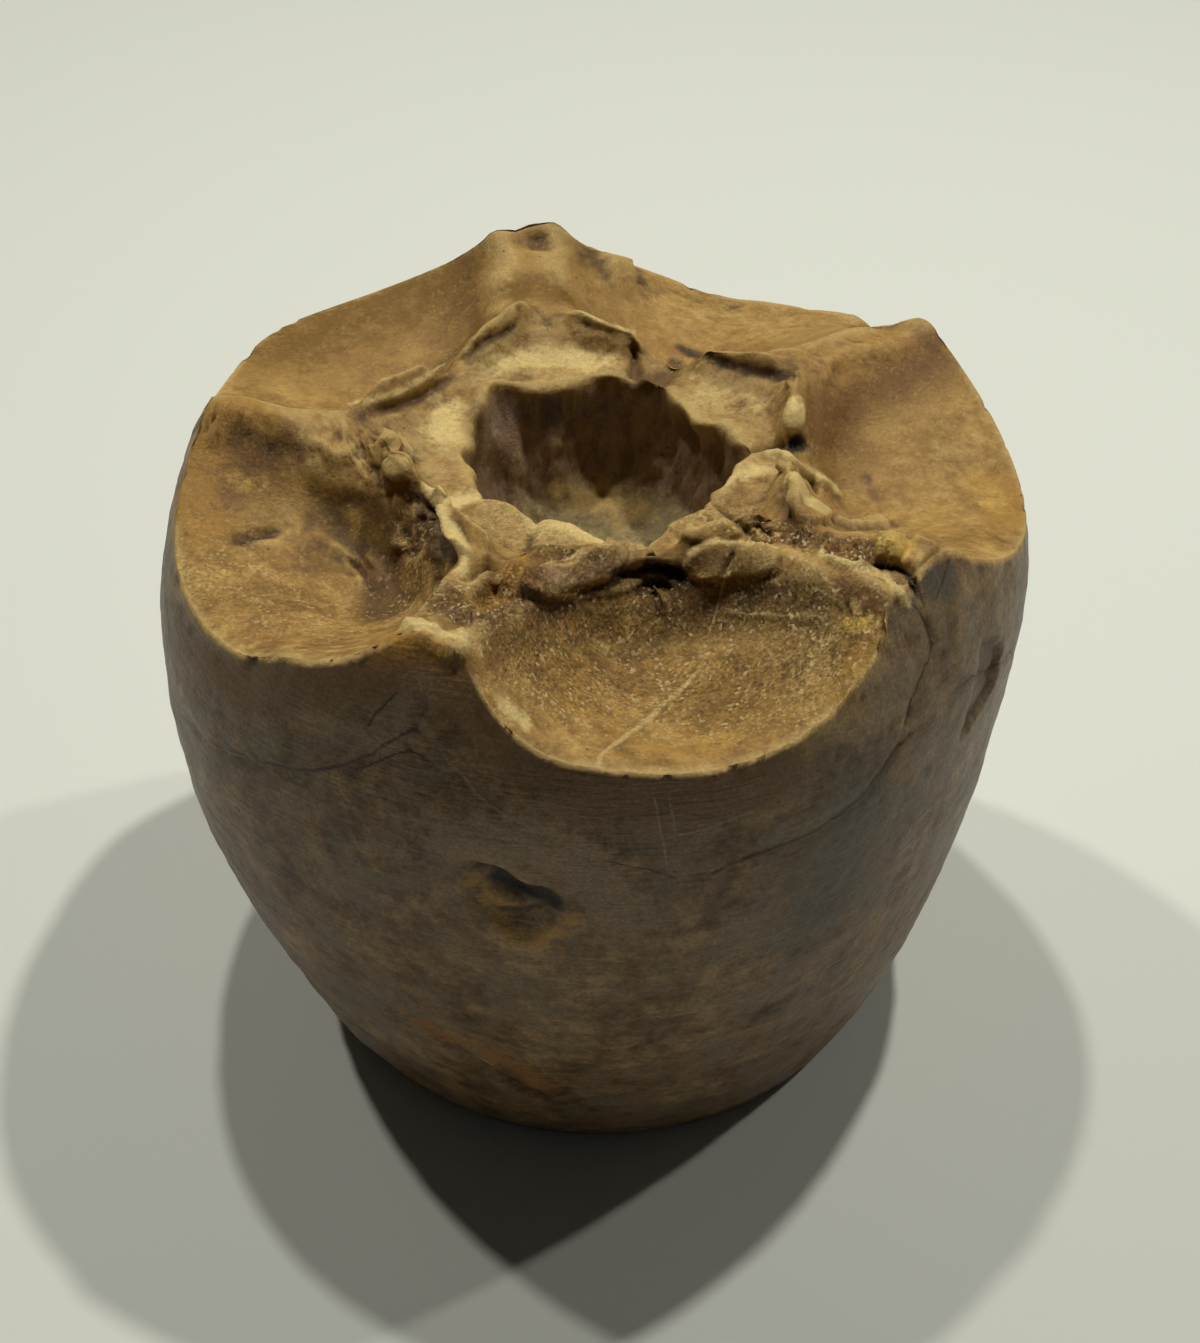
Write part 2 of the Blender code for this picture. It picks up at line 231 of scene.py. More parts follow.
# Broad rises and sinks of the surface: reach, height and the pixels that it runs through
SWELLS = {
    "corner_saddle": (1.3, -1.0, "868,316 888,318"),
    "right_peak": (0.8, 0.35, "915,322 918,326"),
    "back_dip": (1.6, -0.4, "700,292 725,298"),
    "back_peak_left": (0.9, 0.35, "498,240 492,243"),
    "back_peak_right": (1.4, 0.6, "536,236 545,238"),
    "back_notch": (0.6, -0.12, "512,240 513,244"),
    "left_peak": (1.3, 0.4, "232,420 250,417"),
    "left_facet_edge": (2.4, 1.0, "292,672 325,680 365,672 390,660"),
    "front_facet_edge": (2.6, 0.85, "620,783 690,788 760,773 815,738 850,700"),
    "left_hollow": (2.2, -0.3, "345,500 372,530"),
}

# Flat-topped lumps and scars: width of the edge, height and outline, clockwise in the image
MOUNDS = {
    "front_lobe_left": (0.2, 0.46, "524,592 526,576 546,566 568,562 578,553 596,546 614,547 625,557 "
                                   "618,573 602,584 580,592 550,600"),
    "front_lobe_right": (0.25, 0.34, "682,574 688,556 700,546 716,541 745,545 774,549 779,565 765,576 "
                                     "725,578 698,581"),
    "left_corner_lump": (0.3, 0.28, "404,634 416,626 432,633 448,640 463,633 471,641 467,655 448,655 "
                                    "430,650 417,645"),
    "pit_bowl": (0.5, -0.2, "458,864 500,878 542,896 562,901 558,920 535,936 508,932 486,905 466,882"),
    "ball_lobe": (0.25, 0.45, "385,468 391,459 401,457 409,464 410,474 401,480 390,478"),
    "ledge_block": (0.3, 0.15, "664,525 680,507 700,499 724,512 742,530 730,540 690,540"),
    "pale_chip": (0.2, 0.34, "788,480 796,479 804,486 810,500 824,510 832,516 818,524 800,523 793,514"),
    "side_knob": (0.3, 0.22, "788,414 790,402 797,397 803,402 804,418 800,430 790,432 786,424"),
    "yellow_crumb": (0.16, 0.3, "871,556 876,543 884,538 898,536 906,541 908,552 912,562 896,562 884,558"),
    "grey_flake": (0.2, 0.3, "909,544 922,543 936,549 926,561 915,568"),
    "right_scar": (0.35, -0.35, "984,642 1000,646 997,668 990,692 977,716 962,738 966,712 974,688"),
}

# Uneven crystal or sediment crusts: half width, height and the pixels that it runs through
CRUSTS = {
    "crumb_rough": (0.4, 0.16, "877,560 880,546 897,544 904,556"),
    "corner_sediment": (0.9, 0.3, "790,532 812,538 840,547 868,553"),
    "left_corner_crystals": (0.7, 0.3, "450,612 475,616 496,606 508,592"),
    "left_lump_rough": (0.55, 0.24, "412,634 432,641 464,643"),
    "wet_crystals": (0.8, 0.28, "422,520 432,540 436,565 440,585"),
    "facet_right_crust": (0.7, 0.2, "845,600 862,612 872,628"),
    "left_peak_rough": (1.1, 0.22, "222,432 248,424 266,432"),
    "corner_rough": (1.4, 0.12, "835,372 865,352 895,340"),
    "left_ridge_rough": (1.0, 0.12, "330,425 362,440 398,452"),
    "side_sediment": (0.6, 0.16, "760,525 785,530 800,536"),
    "left_scarp": (0.8, 0.12, "300,455 335,452 375,480 405,502"),
}

# Stains of each paint, with some rows of painted shade, shadow, light and highlights: half width, strength
# and the pixels that it runs through. Sugar isn't a paint: it makes the stone show its crystals. Calm
# evens out the tone of the stone
STAINS = {
    "slate": {
        "corner_block_grey": (1.3, 1.0, "922,556 930,572 948,580"),
        "wall_right_grey": (4.5, 0.8, "850,830 830,900"),
        "wall_low_grey": (2.5, 0.4, "600,1085 700,1070 780,1020"),
    },
    "band": {
        "under_edge_left": (1.6, 1.0, "200,662 250,690 330,692 400,680 470,690"),
        "under_edge_front": (1.8, 1.0, "480,700 520,750 600,800 700,805 780,780"),
    },
    "halo": {
        "pit": (2.4, 0.85, "450,850 520,848 590,880 620,920"),
        "pit_lens": (0.45, 0.9, "505,919 522,924 542,917"),
        "left_seam_grey": (1.4, 0.6, "425,690 410,720 380,745"),
        "wall_right_light": (2.4, 0.5, "880,700 905,690 930,650"),
        "wall_left_clouds": (1.6, 0.5, "395,790 430,840 450,900"),
        "wall_pit_clouds": (1.0, 0.6, "590,895 620,905 645,900"),
        "wall_top_clouds": (1.4, 0.4, "300,800 340,830 380,850"),
    },
    "umber": {
        "low_orange": (1.1, 0.85, "424,1026 440,1036 462,1044"),
        "low_orange_right": (1.3, 0.72, "482,1050 505,1060 540,1084"),
    },
    "rust": {
        "facet_start_brown": (1.2, 0.6, "490,660 505,640 540,610"),
        "ledge_left_mottle": (0.9, 0.5, "395,440 410,425 436,415"),
        "ledge_back_mottle": (0.7, 0.5, "520,345 545,338 570,345"),
        "left_facet_shade": (1.6, 0.55, "455,262 462,300 440,340"),
        "right_facet_shade": (2.5, 0.78, "930,350 905,370 850,392 820,430"),
        "amber_pocket": (0.6, 0.9, "478,604 492,596 498,572"),
        "left_corner_brown": (1.7, 0.75, "446,600 470,612 505,600 530,575"),
        "right_corner_brown": (1.2, 0.7, "795,520 820,535 850,545"),
        "sediment_brown": (0.8, 1.0, "790,534 815,541 840,549 864,555"),
        "left_corner": (1.9, 1.0, "275,445 248,460 225,478 200,500"),
        "facet_crust_brown": (0.9, 0.8, "842,588 862,594 876,606"),
        "right_facet_brown": (2.0, 0.4, "820,420 850,440 860,470"),
        "front_basin_brown": (3.0, 0.4, "640,680 710,700 780,670"),
        "back_band": (1.1, 0.6, "468,260 472,300 478,330"),
        "left_edge": (0.8, 0.7, "372,676 420,668 470,672"),
    },
    "amber": {
        "corner_back": (1.6, 0.9, "520,290 540,286 560,296"),
        "back_left": (4.2, 0.72, "300,350 350,325 400,300 440,285"),
    },
    "ochre": {
        "corner_back_shade": (1.4, 0.4, "530,262 540,275 545,298"),
        "sediment": (0.6, 0.5, "815,541 850,551"),
        "left_corner_tan": (1.2, 0.95, "228,424 246,416 265,424"),
        "left_corner": (2.0, 0.8, "205,455 190,490 205,525"),
        "left_edge": (0.8, 0.9, "385,655 415,652 440,656"),
        "crystal": (0.9, 0.8, "480,608 500,590 520,560"),
        "facet_crust_gold": (0.9, 0.6, "872,640 858,672 838,706"),
        "right_facet": (1.6, 0.9, "985,485 1000,490 1002,515"),
        "corner_back": (1.8, 0.6, "830,375 865,355 895,340"),
        "front_basin_gold": (2.2, 0.5, "560,670 590,710 650,745 720,755"),
        "pit_olive": (1.0, 0.45, "480,885 505,902 530,908"),
        "pit": (0.8, 0.64, "470,878 490,900 512,935 545,938 572,918"),
    },
    "yellow": {
        "left_corner_gold": (0.7, 0.5, "232,478 246,486 262,484"),
        "facet_crust": (0.5, 1.0, "848,623 860,627 872,622"),
        "crumb": (0.8, 1.0, "885,548 903,550"),
        "right_facet_gold": (1.1, 0.5, "976,480 988,492 992,505"),
    },
    "tan": {
        "back_facet": (4.0, 0.5, "680,305 740,318 790,325"),
        "right_facet": (3.4, 0.4, "970,430 940,480 905,520"),
        "front_right": (1.8, 0.6, "775,650 815,655 800,690"),
        # Painted light: a paler pool on the cavity floor where the lamps reach it
        "cavity_floor_light": (1.5, 0.7, "560,492 600,500 632,512"),
    },
    "grey": {
        "lobe_left": (0.7, 0.7, "548,582 585,572 612,560"),
    },
    # Painted shade and shadow: left_hollow_dark, hollow_shade, corner_gap_dark, ball_shade,
    # chip_groove_dark, the gully rows, the lip_shade rows and the cavity rows; slope_dark is partly stain
    # and partly painted shade on the slope that faces away from the lamps
    "brown": {
        "lobe_right_grey": (0.8, 0.7, "692,562 725,560"),
        "left_hollow_dark": (1.2, 0.45, "318,514 348,527 380,538"),
        "left_corner_brown_shade": (1.1, 0.5, "246,436 272,448 304,458 345,462"),
        "left_hollow_foot": (1.4, 0.9, "388,560 382,590 378,615"),
        "lip_shade_back": (0.4, 0.55, "572,320 598,330 634,342"),
        "lip_shade_left": (0.42, 0.75, "452,378 430,394 404,406 372,414"),
        "lip_shade_back_left": (0.4, 0.8, "464,357 484,344 512,328"),
        "gully_dark": (0.9, 0.9, "636,372 650,385 666,374"),
        "gully_line": (0.4, 0.9, "634,345 635,375"),
        "rim_left": (0.9, 0.55, "480,400 470,425 474,450"),
        "hollow_shade": (1.2, 0.7, "372,500 388,530 392,575"),
        "corner_gap_dark": (0.5, 1.0, "396,486 412,492"),
        "slope_dark": (1.8, 0.6, "650,612 720,612 780,608 820,600"),
        "chip_groove_dark": (0.3, 1.0, "784,486 785,505 792,526"),
        "ball_shade": (0.35, 1.0, "380,482 398,486 414,485"),
        "right_facet_spot_upper": (0.45, 0.7, "867,476 869,481"),
        "right_facet_spot": (0.6, 0.6, "873,490 879,498"),
        "back_corner_dark": (0.8, 0.8, "534,246 541,250"),
        "block_top": (0.8, 0.6, "922,550 944,556"),
        "right_scar_dark": (0.8, 0.8, "992,655 985,690 970,720"),
        "cavity_left_shade": (1.5, 0.7, "478,420 482,445 492,465"),
        "cavity_right_shade": (1.4, 0.5, "690,425 700,445 694,465"),
    },
    "pale": {
        "ledge_left": (1.2, 0.8, "436,432 450,408 446,440"),
        "ledge_back": (1.3, 0.75, "500,365 550,358 600,362"),
        "ledge_right": (1.2, 0.4, "692,378 722,395 760,405"),
        "ledge_front_left": (0.8, 0.26, "470,503 505,503 540,524 600,538 635,550"),
        "ledge_front_right": (0.9, 0.8, "664,530 690,510 725,482 755,470"),
        "flange": (0.4, 1.0, "427,487 450,522 466,554 462,570"),
        "corner_lump": (0.7, 0.9, "408,634 432,638 464,642"),
        "left_ridge": (0.5, 0.5, "446,584 430,604 412,626"),
        "chip": (0.7, 1.0, "795,484 803,505 825,514"),
        "flake": (0.5, 0.8, "770,450 795,466 835,488"),
        "knob": (0.8, 0.9, "795,408 797,426"),
        "rim_front": (0.9, 1.0, "462,502 500,506 543,526 593,536 630,549"),
        # Painted highlights along the crests of the lips
        "lip_crest_back": (0.3, 0.7, "572,312 600,321 634,332"),
        "lip_crest_left": (0.25, 0.6, "444,364 420,379 398,393 352,405"),
        "lip_crest_back_left": (0.3, 0.7, "462,352 484,337 512,320"),
        "lip_crest_front": (0.12, 0.6, "528,572 548,563 570,558 582,549 604,543"),
        "lip_crest_right": (0.25, 0.7, "690,553 704,543 745,543 775,548"),
        "facet_edge": (0.5, 0.4, "245,655 300,662 350,660 395,645"),
        "front_edge": (0.3, 0.3, "600,770 680,782 760,770 830,720"),
        "edge_chip": (0.6, 0.8, "505,705 525,722"),
        "corner_flake": (0.4, 0.8, "822,553 852,566 884,577 911,602"),
        "left_floor": (1.0, 0.3, "215,640 260,652 310,655 370,645"),
        "ball": (0.5, 0.5, "392,463 404,466"),
    },
    # Painted shadow on the cavity's far wall
    "cavity_shadow": {
        "cavity_far_dark": (1.7, 0.5, "530,410 570,416 605,416"),
    },
    # Painted shadow: the lip row under the back-right lip, the flange row beside the flange, the canal row
    # under the lobe and the fold row in the fold's groove
    "dark": {
        "left_corner": (0.8, 0.5, "240,446 262,440 282,450"),
        "lip_shade_back_right": (0.5, 0.75, "680,347 704,355 735,366 768,373 794,376"),
        "flange_shade": (0.5, 0.9, "424,500 436,525 452,560"),
        "canal_shadow": (0.6, 1.0, "614,574 630,575"),
        "slit": (0.26, 0.8, "236,540 278,532"),
        "fold": (0.2, 0.7, "350,558 362,570 372,590"),
    },
    # Painted shade in the holes, pits and the crack that the relief digs
    "black": {
        "canal_dark": (0.7, 1.0, "650,572 664,574 680,579"),
        "side_canal_dark": (0.6, 0.9, "792,446 802,441"),
        "crack_dark": (0.17, 1.0, "868,564 884,566 900,569 912,580 920,595"),
        "pit_shade": (0.55, 1.0, "498,879 518,889 538,898 556,903"),
        "edge_pit_dark": (0.3, 1.0, "249,664 254,667"),
    },
    "wet": {
        "flange": (0.9, 0.9, "424,515 434,545 440,575"),
        "crystals": (0.8, 0.5, "448,608 480,620"),
        "slope": (1.2, 0.5, "530,605 600,590 680,598 780,590"),
        "sediment": (0.5, 0.5, "805,540 840,550"),
    },
    "sugar": {
        "front_basin": (4.5, 0.7, "525,650 570,675 640,690 760,690 820,650"),
        "front_slope": (2.2, 0.8, "505,640 560,615 650,612 800,605"),
        "left_corner": (1.8, 1.0, "440,600 480,610 515,590"),
        "left_facet": (1.6, 0.7, "405,530 420,575 400,610"),
        "left_facet_low": (4.5, 0.5, "220,580 270,600 320,620 370,620"),
        "sediment": (1.2, 1.0, "780,530 830,545 868,555"),
        "ledge_front": (2.0, 0.5, "500,530 560,545 600,552"),
        "ledge_right": (1.8, 0.6, "690,520 730,515 770,530"),
    },
    "calm": {
        "back_left": (5.0, 1.0, "300,350 380,310 450,280"),
        "back": (5.0, 1.0, "580,270 680,305 780,325 840,330"),
        "right": (4.0, 0.7, "920,380 930,450 900,520"),
    },
}

# Thin coloured lines: kind, half width and the pixels that it runs through
LINES = {
    "front_vein": ("vein", 0.12, "706,663 680,690 645,722 600,768 604,785"),
    "slope_vein": ("vein", 0.07, "716,612 755,614 800,617 832,618"),
    "slope_rise": ("vein", 0.06, "736,552 724,580 716,612 704,640"),
    "corner_thread": ("vein", 0.09, "880,577 890,582 899,594 911,602"),
    "right_scratch": ("scratch", 0.05, "886,612 904,640 920,668"),
    "wall_scratch": ("scratch", 0.06, "652,800 664,850 668,872"),
    "wall_scratch_right": ("scratch", 0.06, "668,805 676,842"),
    "wall_scratch_long": ("scratch", 0.06, "668,842 710,832 760,815"),
    "left_thread": ("scratch", 0.06, "178,706 190,722 212,745 250,760"),
    "seam_scratch": ("scratch", 0.06, "420,684 424,702"),
    "pit_crack": ("crack", 0.24, "462,864 500,877 520,887 542,895 562,900"),
    "pit_crack_lower": ("crack", 0.2, "494,908 516,912 533,909 548,902"),
    "left_seam": ("crack", 0.09, "250,760 300,771 345,766 380,750 412,732 426,738"),
    "left_branch": ("crack", 0.07, "348,774 380,762 410,752 430,765"),
    "right_seam": ("crack", 0.11, "690,884 740,862 790,843 840,815 872,785 900,745 925,722"),
    "right_seam_upper": ("crack", 0.07, "912,602 925,620 932,650 922,675 910,710 898,742"),
    "middle_seam": ("crack", 0.05, "600,862 650,872 676,880"),
    "middle_seam_left": ("scratch", 0.09, "440,750 455,770 490,805 540,835 600,862"),
    "corner_seam": ("crack", 0.07, "400,700 378,720 365,735"),
    "block_crack": ("crack", 0.08, "952,555 945,575 935,600"),
}

# Plate seams on the hidden side of the wall: depth under the facets, half width, the middle
# and half the spread of their azimuths, the azimuths of the corners that they run up to, how
# they wander and join, and the half width and depth of their groove
SEAM_DROP = 6.5
SEAM_WIDTH = 0.08
SEAM_MIDDLE = 80.5
SEAM_SPREAD = 124.0
SEAM_END = 8.0
SEAM_CORNERS = (33.0, 99.0, 177.0)
SEAM_STRETCH = (1.0, 1.0, 0.3)
SEAM_WANDER_LEVEL = 0.8
SEAM_WANDER_UPRIGHT = 0.5
SEAM_TOP = (0.2, 0.8)
SEAM_JOINT = 0.2
GROOVE_WIDTH = 0.24
SEAM_DEPTH = 0.12

# Dirt and painted shade in the hollows, and wear and painted highlights on the crests: how many points
# away each bend is measured and its share, the bends between which they grow, and their strength with what
# the top adds
BENDS = ((2, 1.0), (5, 0.35))
SHADE_AND_DIRT_BEND = (0.02, 0.16)
WEAR_AND_HIGHLIGHT_BEND = (0.02, 0.14)
SHADE_AND_DIRT_STRENGTH = (0.35, 0.45)
WEAR_AND_HIGHLIGHT_STRENGTH = (0.1, 0.4)
CAVITY_SHELTER = 0.6
LEAST_SUGAR = 0.12

# Colours of the bare stone, and of its painted shade, highlights and glints; the first two follow the tone
# of a noise
TOP_COLOURS = ((0.37, (0.19, 0.102, 0.026)), (0.5, (0.345, 0.198, 0.05)), (0.62, (0.5, 0.315, 0.092)))
WALL_COLOURS = ((0.4, (0.07, 0.037, 0.014)), (0.5, (0.17, 0.097, 0.043)), (0.6, (0.31, 0.195, 0.093)))
WALL_CLOUD_COLOUR = (0.17, 0.122, 0.075)
LEDGE_COLOUR = (0.42, 0.28, 0.1)
CAVITY_WALL_COLOUR = (0.33, 0.215, 0.12)
CAVITY_FLOOR_COLOUR = (0.34, 0.26, 0.105)
# Painted shade with dirt in the hollows; the dark drips of the cavity and the pores take this colour too
SHADE_AND_DIRT_COLOUR = (0.07, 0.038, 0.014)
# Painted highlight with wear on the crests
WEAR_AND_HIGHLIGHT_COLOUR = (0.58, 0.41, 0.15)
# Painted glints on some crystals
GLINT_COLOUR = (0.72, 0.58, 0.3)

# Colours of the stains and of the painted shade, shadow, light and highlights, in the order in which they
# cover each other, and of the thin lines
PAINT_COLOURS = {
    "slate": (0.115, 0.088, 0.058),
    "band": (0.165, 0.093, 0.04),
    "halo": (0.23, 0.155, 0.092),
    "umber": (0.26, 0.12, 0.034),
    "rust": (0.2, 0.1, 0.028),
    "amber": (0.18, 0.092, 0.012),
    "ochre": (0.37, 0.2, 0.04),
    "yellow": (0.58, 0.375, 0.085),
    "tan": (0.52, 0.34, 0.11),
    "grey": (0.42, 0.255, 0.13),
    "brown": (0.15, 0.08, 0.024),
    "pale": (0.66, 0.49, 0.19),
    # Painted shadow of the cavity's far wall
    "cavity_shadow": (0.11, 0.1, 0.16),
    "dark": (0.06, 0.031, 0.011),
    "black": (0.01, 0.006, 0.003),
    "wet": (0.15, 0.088, 0.03),
}
WALL_PAINTS = ("slate", "band", "halo", "umber")
LINE_COLOURS = {"vein": (0.52, 0.38, 0.15), "scratch": (0.25, 0.18, 0.105), "crack": (0.04, 0.024, 0.014)}

# Noises of the material: features a millimetre, detail, roughness and distortion
TEXTURES = {
    "broad": (0.3, 5.0, 0.6, 0.4),
    "patchy": (1.1, 5.0, 0.68, 0.0),
    "speck": (5.5, 3.0, 0.6, 0.0),
    "streak": (1.0, 5.0, 0.6, 0.5),
    "cloud": (0.2, 5.0, 0.7, 1.2),
    "drips": (1.0, 4.0, 0.65, 0.5),
    "pored": (0.25, 2.0, 0.55, 0.0),
    "clusters": (0.8, 4.0, 0.6, 0.0),
    "polish": (1.6, 4.0, 0.55, 0.0),
    "grain": (2.8, 6.0, 0.72, 0.0),
    "growth": (1.0, 4.0, 0.65, 0.0),
}
TEXTURE_STRETCHES = {"streak": (0.15, 0.15, 1.3), "drips": (1.3, 1.3, 0.16), "growth": (0.3, 0.3, 4.0)}
CRYSTALS_PER_MM = 6.5
PORES_PER_MM = 0.9

# Smooth steps of the material: the values between which each one runs, and what it gives there
STEPS = {
    "calm": (0.0, 1.0, 1.0, 0.35),
    "cloud": (0.46, 0.6, 0.0, 0.75),
    "worn": (0.4, 0.62, 0.05, 0.85),
    "cavity_floor": (0.2, 0.9, 0.0, 1.0),
    "drips": (0.46, 0.62, 0.0, 0.45),
    "line": (0.5, 1.3, 1.0, 0.0),
    "stain_border": (0.02, 0.3, 0.0, 1.0),
    "stain_middle": (0.0, 0.9, 0.5, 1.0),
    "stain_break": (0.2, 0.8, 0.0, 1.0),
    "grain_shade": (0.1, 0.9, 0.25, 0.95),
    "grain_bump": (0.1, 0.9, 0.4, 0.9),
    "speck": (0.36, 0.64, 0.8, 1.22),
    "crystal": (0.0, 1.0, 0.6, 1.2),
    "glint_cells": (0.84, 0.88, 0.0, 1.0),
    "clusters": (0.4, 0.6, 0.15, 1.0),
    "pores": (0.06, 0.1, 1.0, 0.0),
    "pored": (0.52, 0.6, 0.0, 1.0),
    "polish": (0.0, 1.0, 0.0, 0.4),
}

# Material: colour sockets of the Mix node, the middle of what a noise gives, shares, strengths
MIX_FIRST = 6
MIX_SECOND = 7
MIX_RESULT = 2
MIDDLE = 0.5
PATCHY_SHARE = 0.5
STREAK_SHARE = 0.16
FLOOR_BREAK = 0.6
STAIN_BREAK = 1.6
LINE_WAVE = 5.0
LINE_SPECK = 1.2
OVERLAY = 0.75
WALL_GRAIN_SHADE = 0.45
WALL_GRAIN_BUMP = 0.25
GRAIN_BUMP = 0.3
GROWTH_BUMP = 0.12
GROWTH_STRENGTH = 0.6
CRYSTAL_TILT = 0.5
GLINT_TILT = 0.8
TOP_ROUGHNESS = 0.62
WALL_ROUGHNESS = 0.4
ROUGHNESS_SPREAD = 0.25
WET_POLISH = 0.8
TOP_SPECULAR = 0.28
WALL_SPECULAR = 0.24


def ease(start, end, value):
    """Smooth step from 0 at start to 1 at end."""
    t = np.clip((value - start) / (end - start), 0.0, 1.0)
    return t * t * (3.0 - 2.0 * t)


def hump(offset, half_width):
    """Bell of height 1 that fades out over a few half widths."""
    return np.exp(-((offset / half_width) ** 2))


def turn_between(azimuth, reference):
    """Signed angle in degrees from reference to azimuth."""
    return (azimuth - reference + 180.0) % 360.0 - 180.0


def pixels(path):
    """The pixels of a path, which a table writes as x,y pairs, one row each."""
    return np.array([pixel.split(",") for pixel in path.split()], float)


def camera_axes():
    """Forward and upward directions of the camera, which is neither turned nor tilted sideways."""
    rise = math.radians(CAMERA_ELEVATION)
    forward = Vector((0.0, math.cos(rise), -math.sin(rise)))
    upward = Vector((0.0, math.sin(rise), math.cos(rise)))
    return forward, upward


# ---- The CAD body as a grid of rings and columns ----


def next_in_column(vertex, before, azimuth_of, floor):
    """The vertex that follows on the same meridian, seen from before."""
    around = [edge.other_vert(vertex) for edge in vertex.link_edges]
    if floor in around:
        return floor
    ahead = [other for other in around if other != before]
    here = azimuth_of(vertex)
    return min(ahead, key=lambda other: abs(turn_between(azimuth_of(other), here)))


def cad_grid(node):
    """Places of the CAD vertices from the axis, one row a ring and one column a meridian."""
    mesh = bmesh.new()
    mesh.from_mesh(node.data)
    bmesh.ops.remove_doubles(mesh, verts=mesh.verts[:], dist=WELD)
    poles = [vertex for vertex in mesh.verts if len(vertex.link_edges) > POLE_EDGES]
    base, floor = sorted(poles, key=lambda vertex: vertex.co.z)
    axis = base.co.copy()
    axis.z = 0.0

    def azimuth_of(vertex):
        return math.degrees(math.atan2(vertex.co.y - axis.y, vertex.co.x - axis.x)) % 360.0

    firsts = [edge.other_vert(base) for edge in base.link_edges]
    columns = []
    for first in sorted(firsts, key=lambda vertex: round(azimuth_of(vertex), 2) % 360.0):
        column = [base, first]
        while column[-1] != floor:
            column.append(next_in_column(column[-1], column[-2], azimuth_of, floor))
        columns.append([vertex.co - axis for vertex in column])
    mesh.free()
    return np.array(columns).transpose(1, 0, 2) / MM, np.array(axis) / MM


def spline(points, steps, closed=False):
    """Catmull-Rom curve through the rows of points, sampled at the given row numbers."""
    count = len(points)
    row = np.floor(steps).astype(int)
    row = row if closed else np.minimum(row, count - 2)
    t = (steps - row).reshape(-1, *[1] * (points.ndim - 1))

    def at(shift):
        """The rows next to each step; those past an open end carry on in a straight line."""
        if closed:
            return points[(row + shift) % count]
        wanted = row + shift
        found = points[np.clip(wanted, 0, count - 1)]
        before = (wanted < 0).reshape(t.shape)
        past = (wanted > count - 1).reshape(t.shape)
        found = np.where(before, 2.0 * points[0] - points[1], found)
        return np.where(past, 2.0 * points[-1] - points[-2], found)

    p0, p1, p2, p3 = at(-1), at(0), at(1), at(2)
    cubic = (3.0 * (p1 - p2) + p3 - p0) * t**3 + (2.0 * p0 - 5.0 * p1 + 4.0 * p2 - p3) * t**2
    return 0.5 * (cubic + (p2 - p0) * t) + p1


def fine_columns(count):
    """Column numbers of the CAD grid for the fine columns, closer together at the front."""
    turn = np.linspace(0.0, 2.0 * math.pi, COLUMNS, endpoint=False)
    front = math.radians(FRONT_AZIMUTH)
    bent = turn - FRONT_DENSITY * (np.sin(turn - front) + math.sin(front))
    return (bent / (2.0 * math.pi) * count) % count


def fine_rings(last):
    """Ring numbers of the CAD grid for the fine rings below and above the sharp edge."""
    borders = (0, FOOT_RING, EDGE_RING, LIP_RING, RIM_RING, last)
    parts = []
    for start, end, steps in zip(borders, borders[1:], RING_STEPS.values()):
        parts.append(np.arange((end - start) * steps) / steps + start)
    return np.concatenate(parts[:2]), np.concatenate(parts[2:] + [[float(last)]])


def fine_grid(coarse):
    """Smooth fine grid through the CAD grid, with its sharp edge kept, and its ring numbers."""
    wide = spline(coarse.transpose(1, 0, 2), fine_columns(coarse.shape[1]), closed=True)
    wide = wide.transpose(1, 0, 2)
    below, above = fine_rings(len(coarse) - 1)
    lower = spline(wide[: EDGE_RING + 1], below)
    upper = spline(wide[EDGE_RING:], above - EDGE_RING)
    grid = np.concatenate([lower, upper])
    grid[:, :, 2] = np.maximum(grid[:, :, 2], 0.0)
    return grid, np.concatenate([below, above])


def grid_normals(grid):
    """Outward unit normals of the grid's points."""
    around = np.roll(grid, -1, axis=1) - np.roll(grid, 1, axis=1)
    up = np.gradient(grid, axis=0)
    normals = np.cross(around, up)
    length = np.linalg.norm(normals, axis=2, keepdims=True)
    normals = normals / np.maximum(length, TINY)
    normals[0] = (0.0, 0.0, -1.0)
    normals[-1] = (0.0, 0.0, 1.0)
    return normals


# ---- The stone, and marks that are placed on it by pixels ----


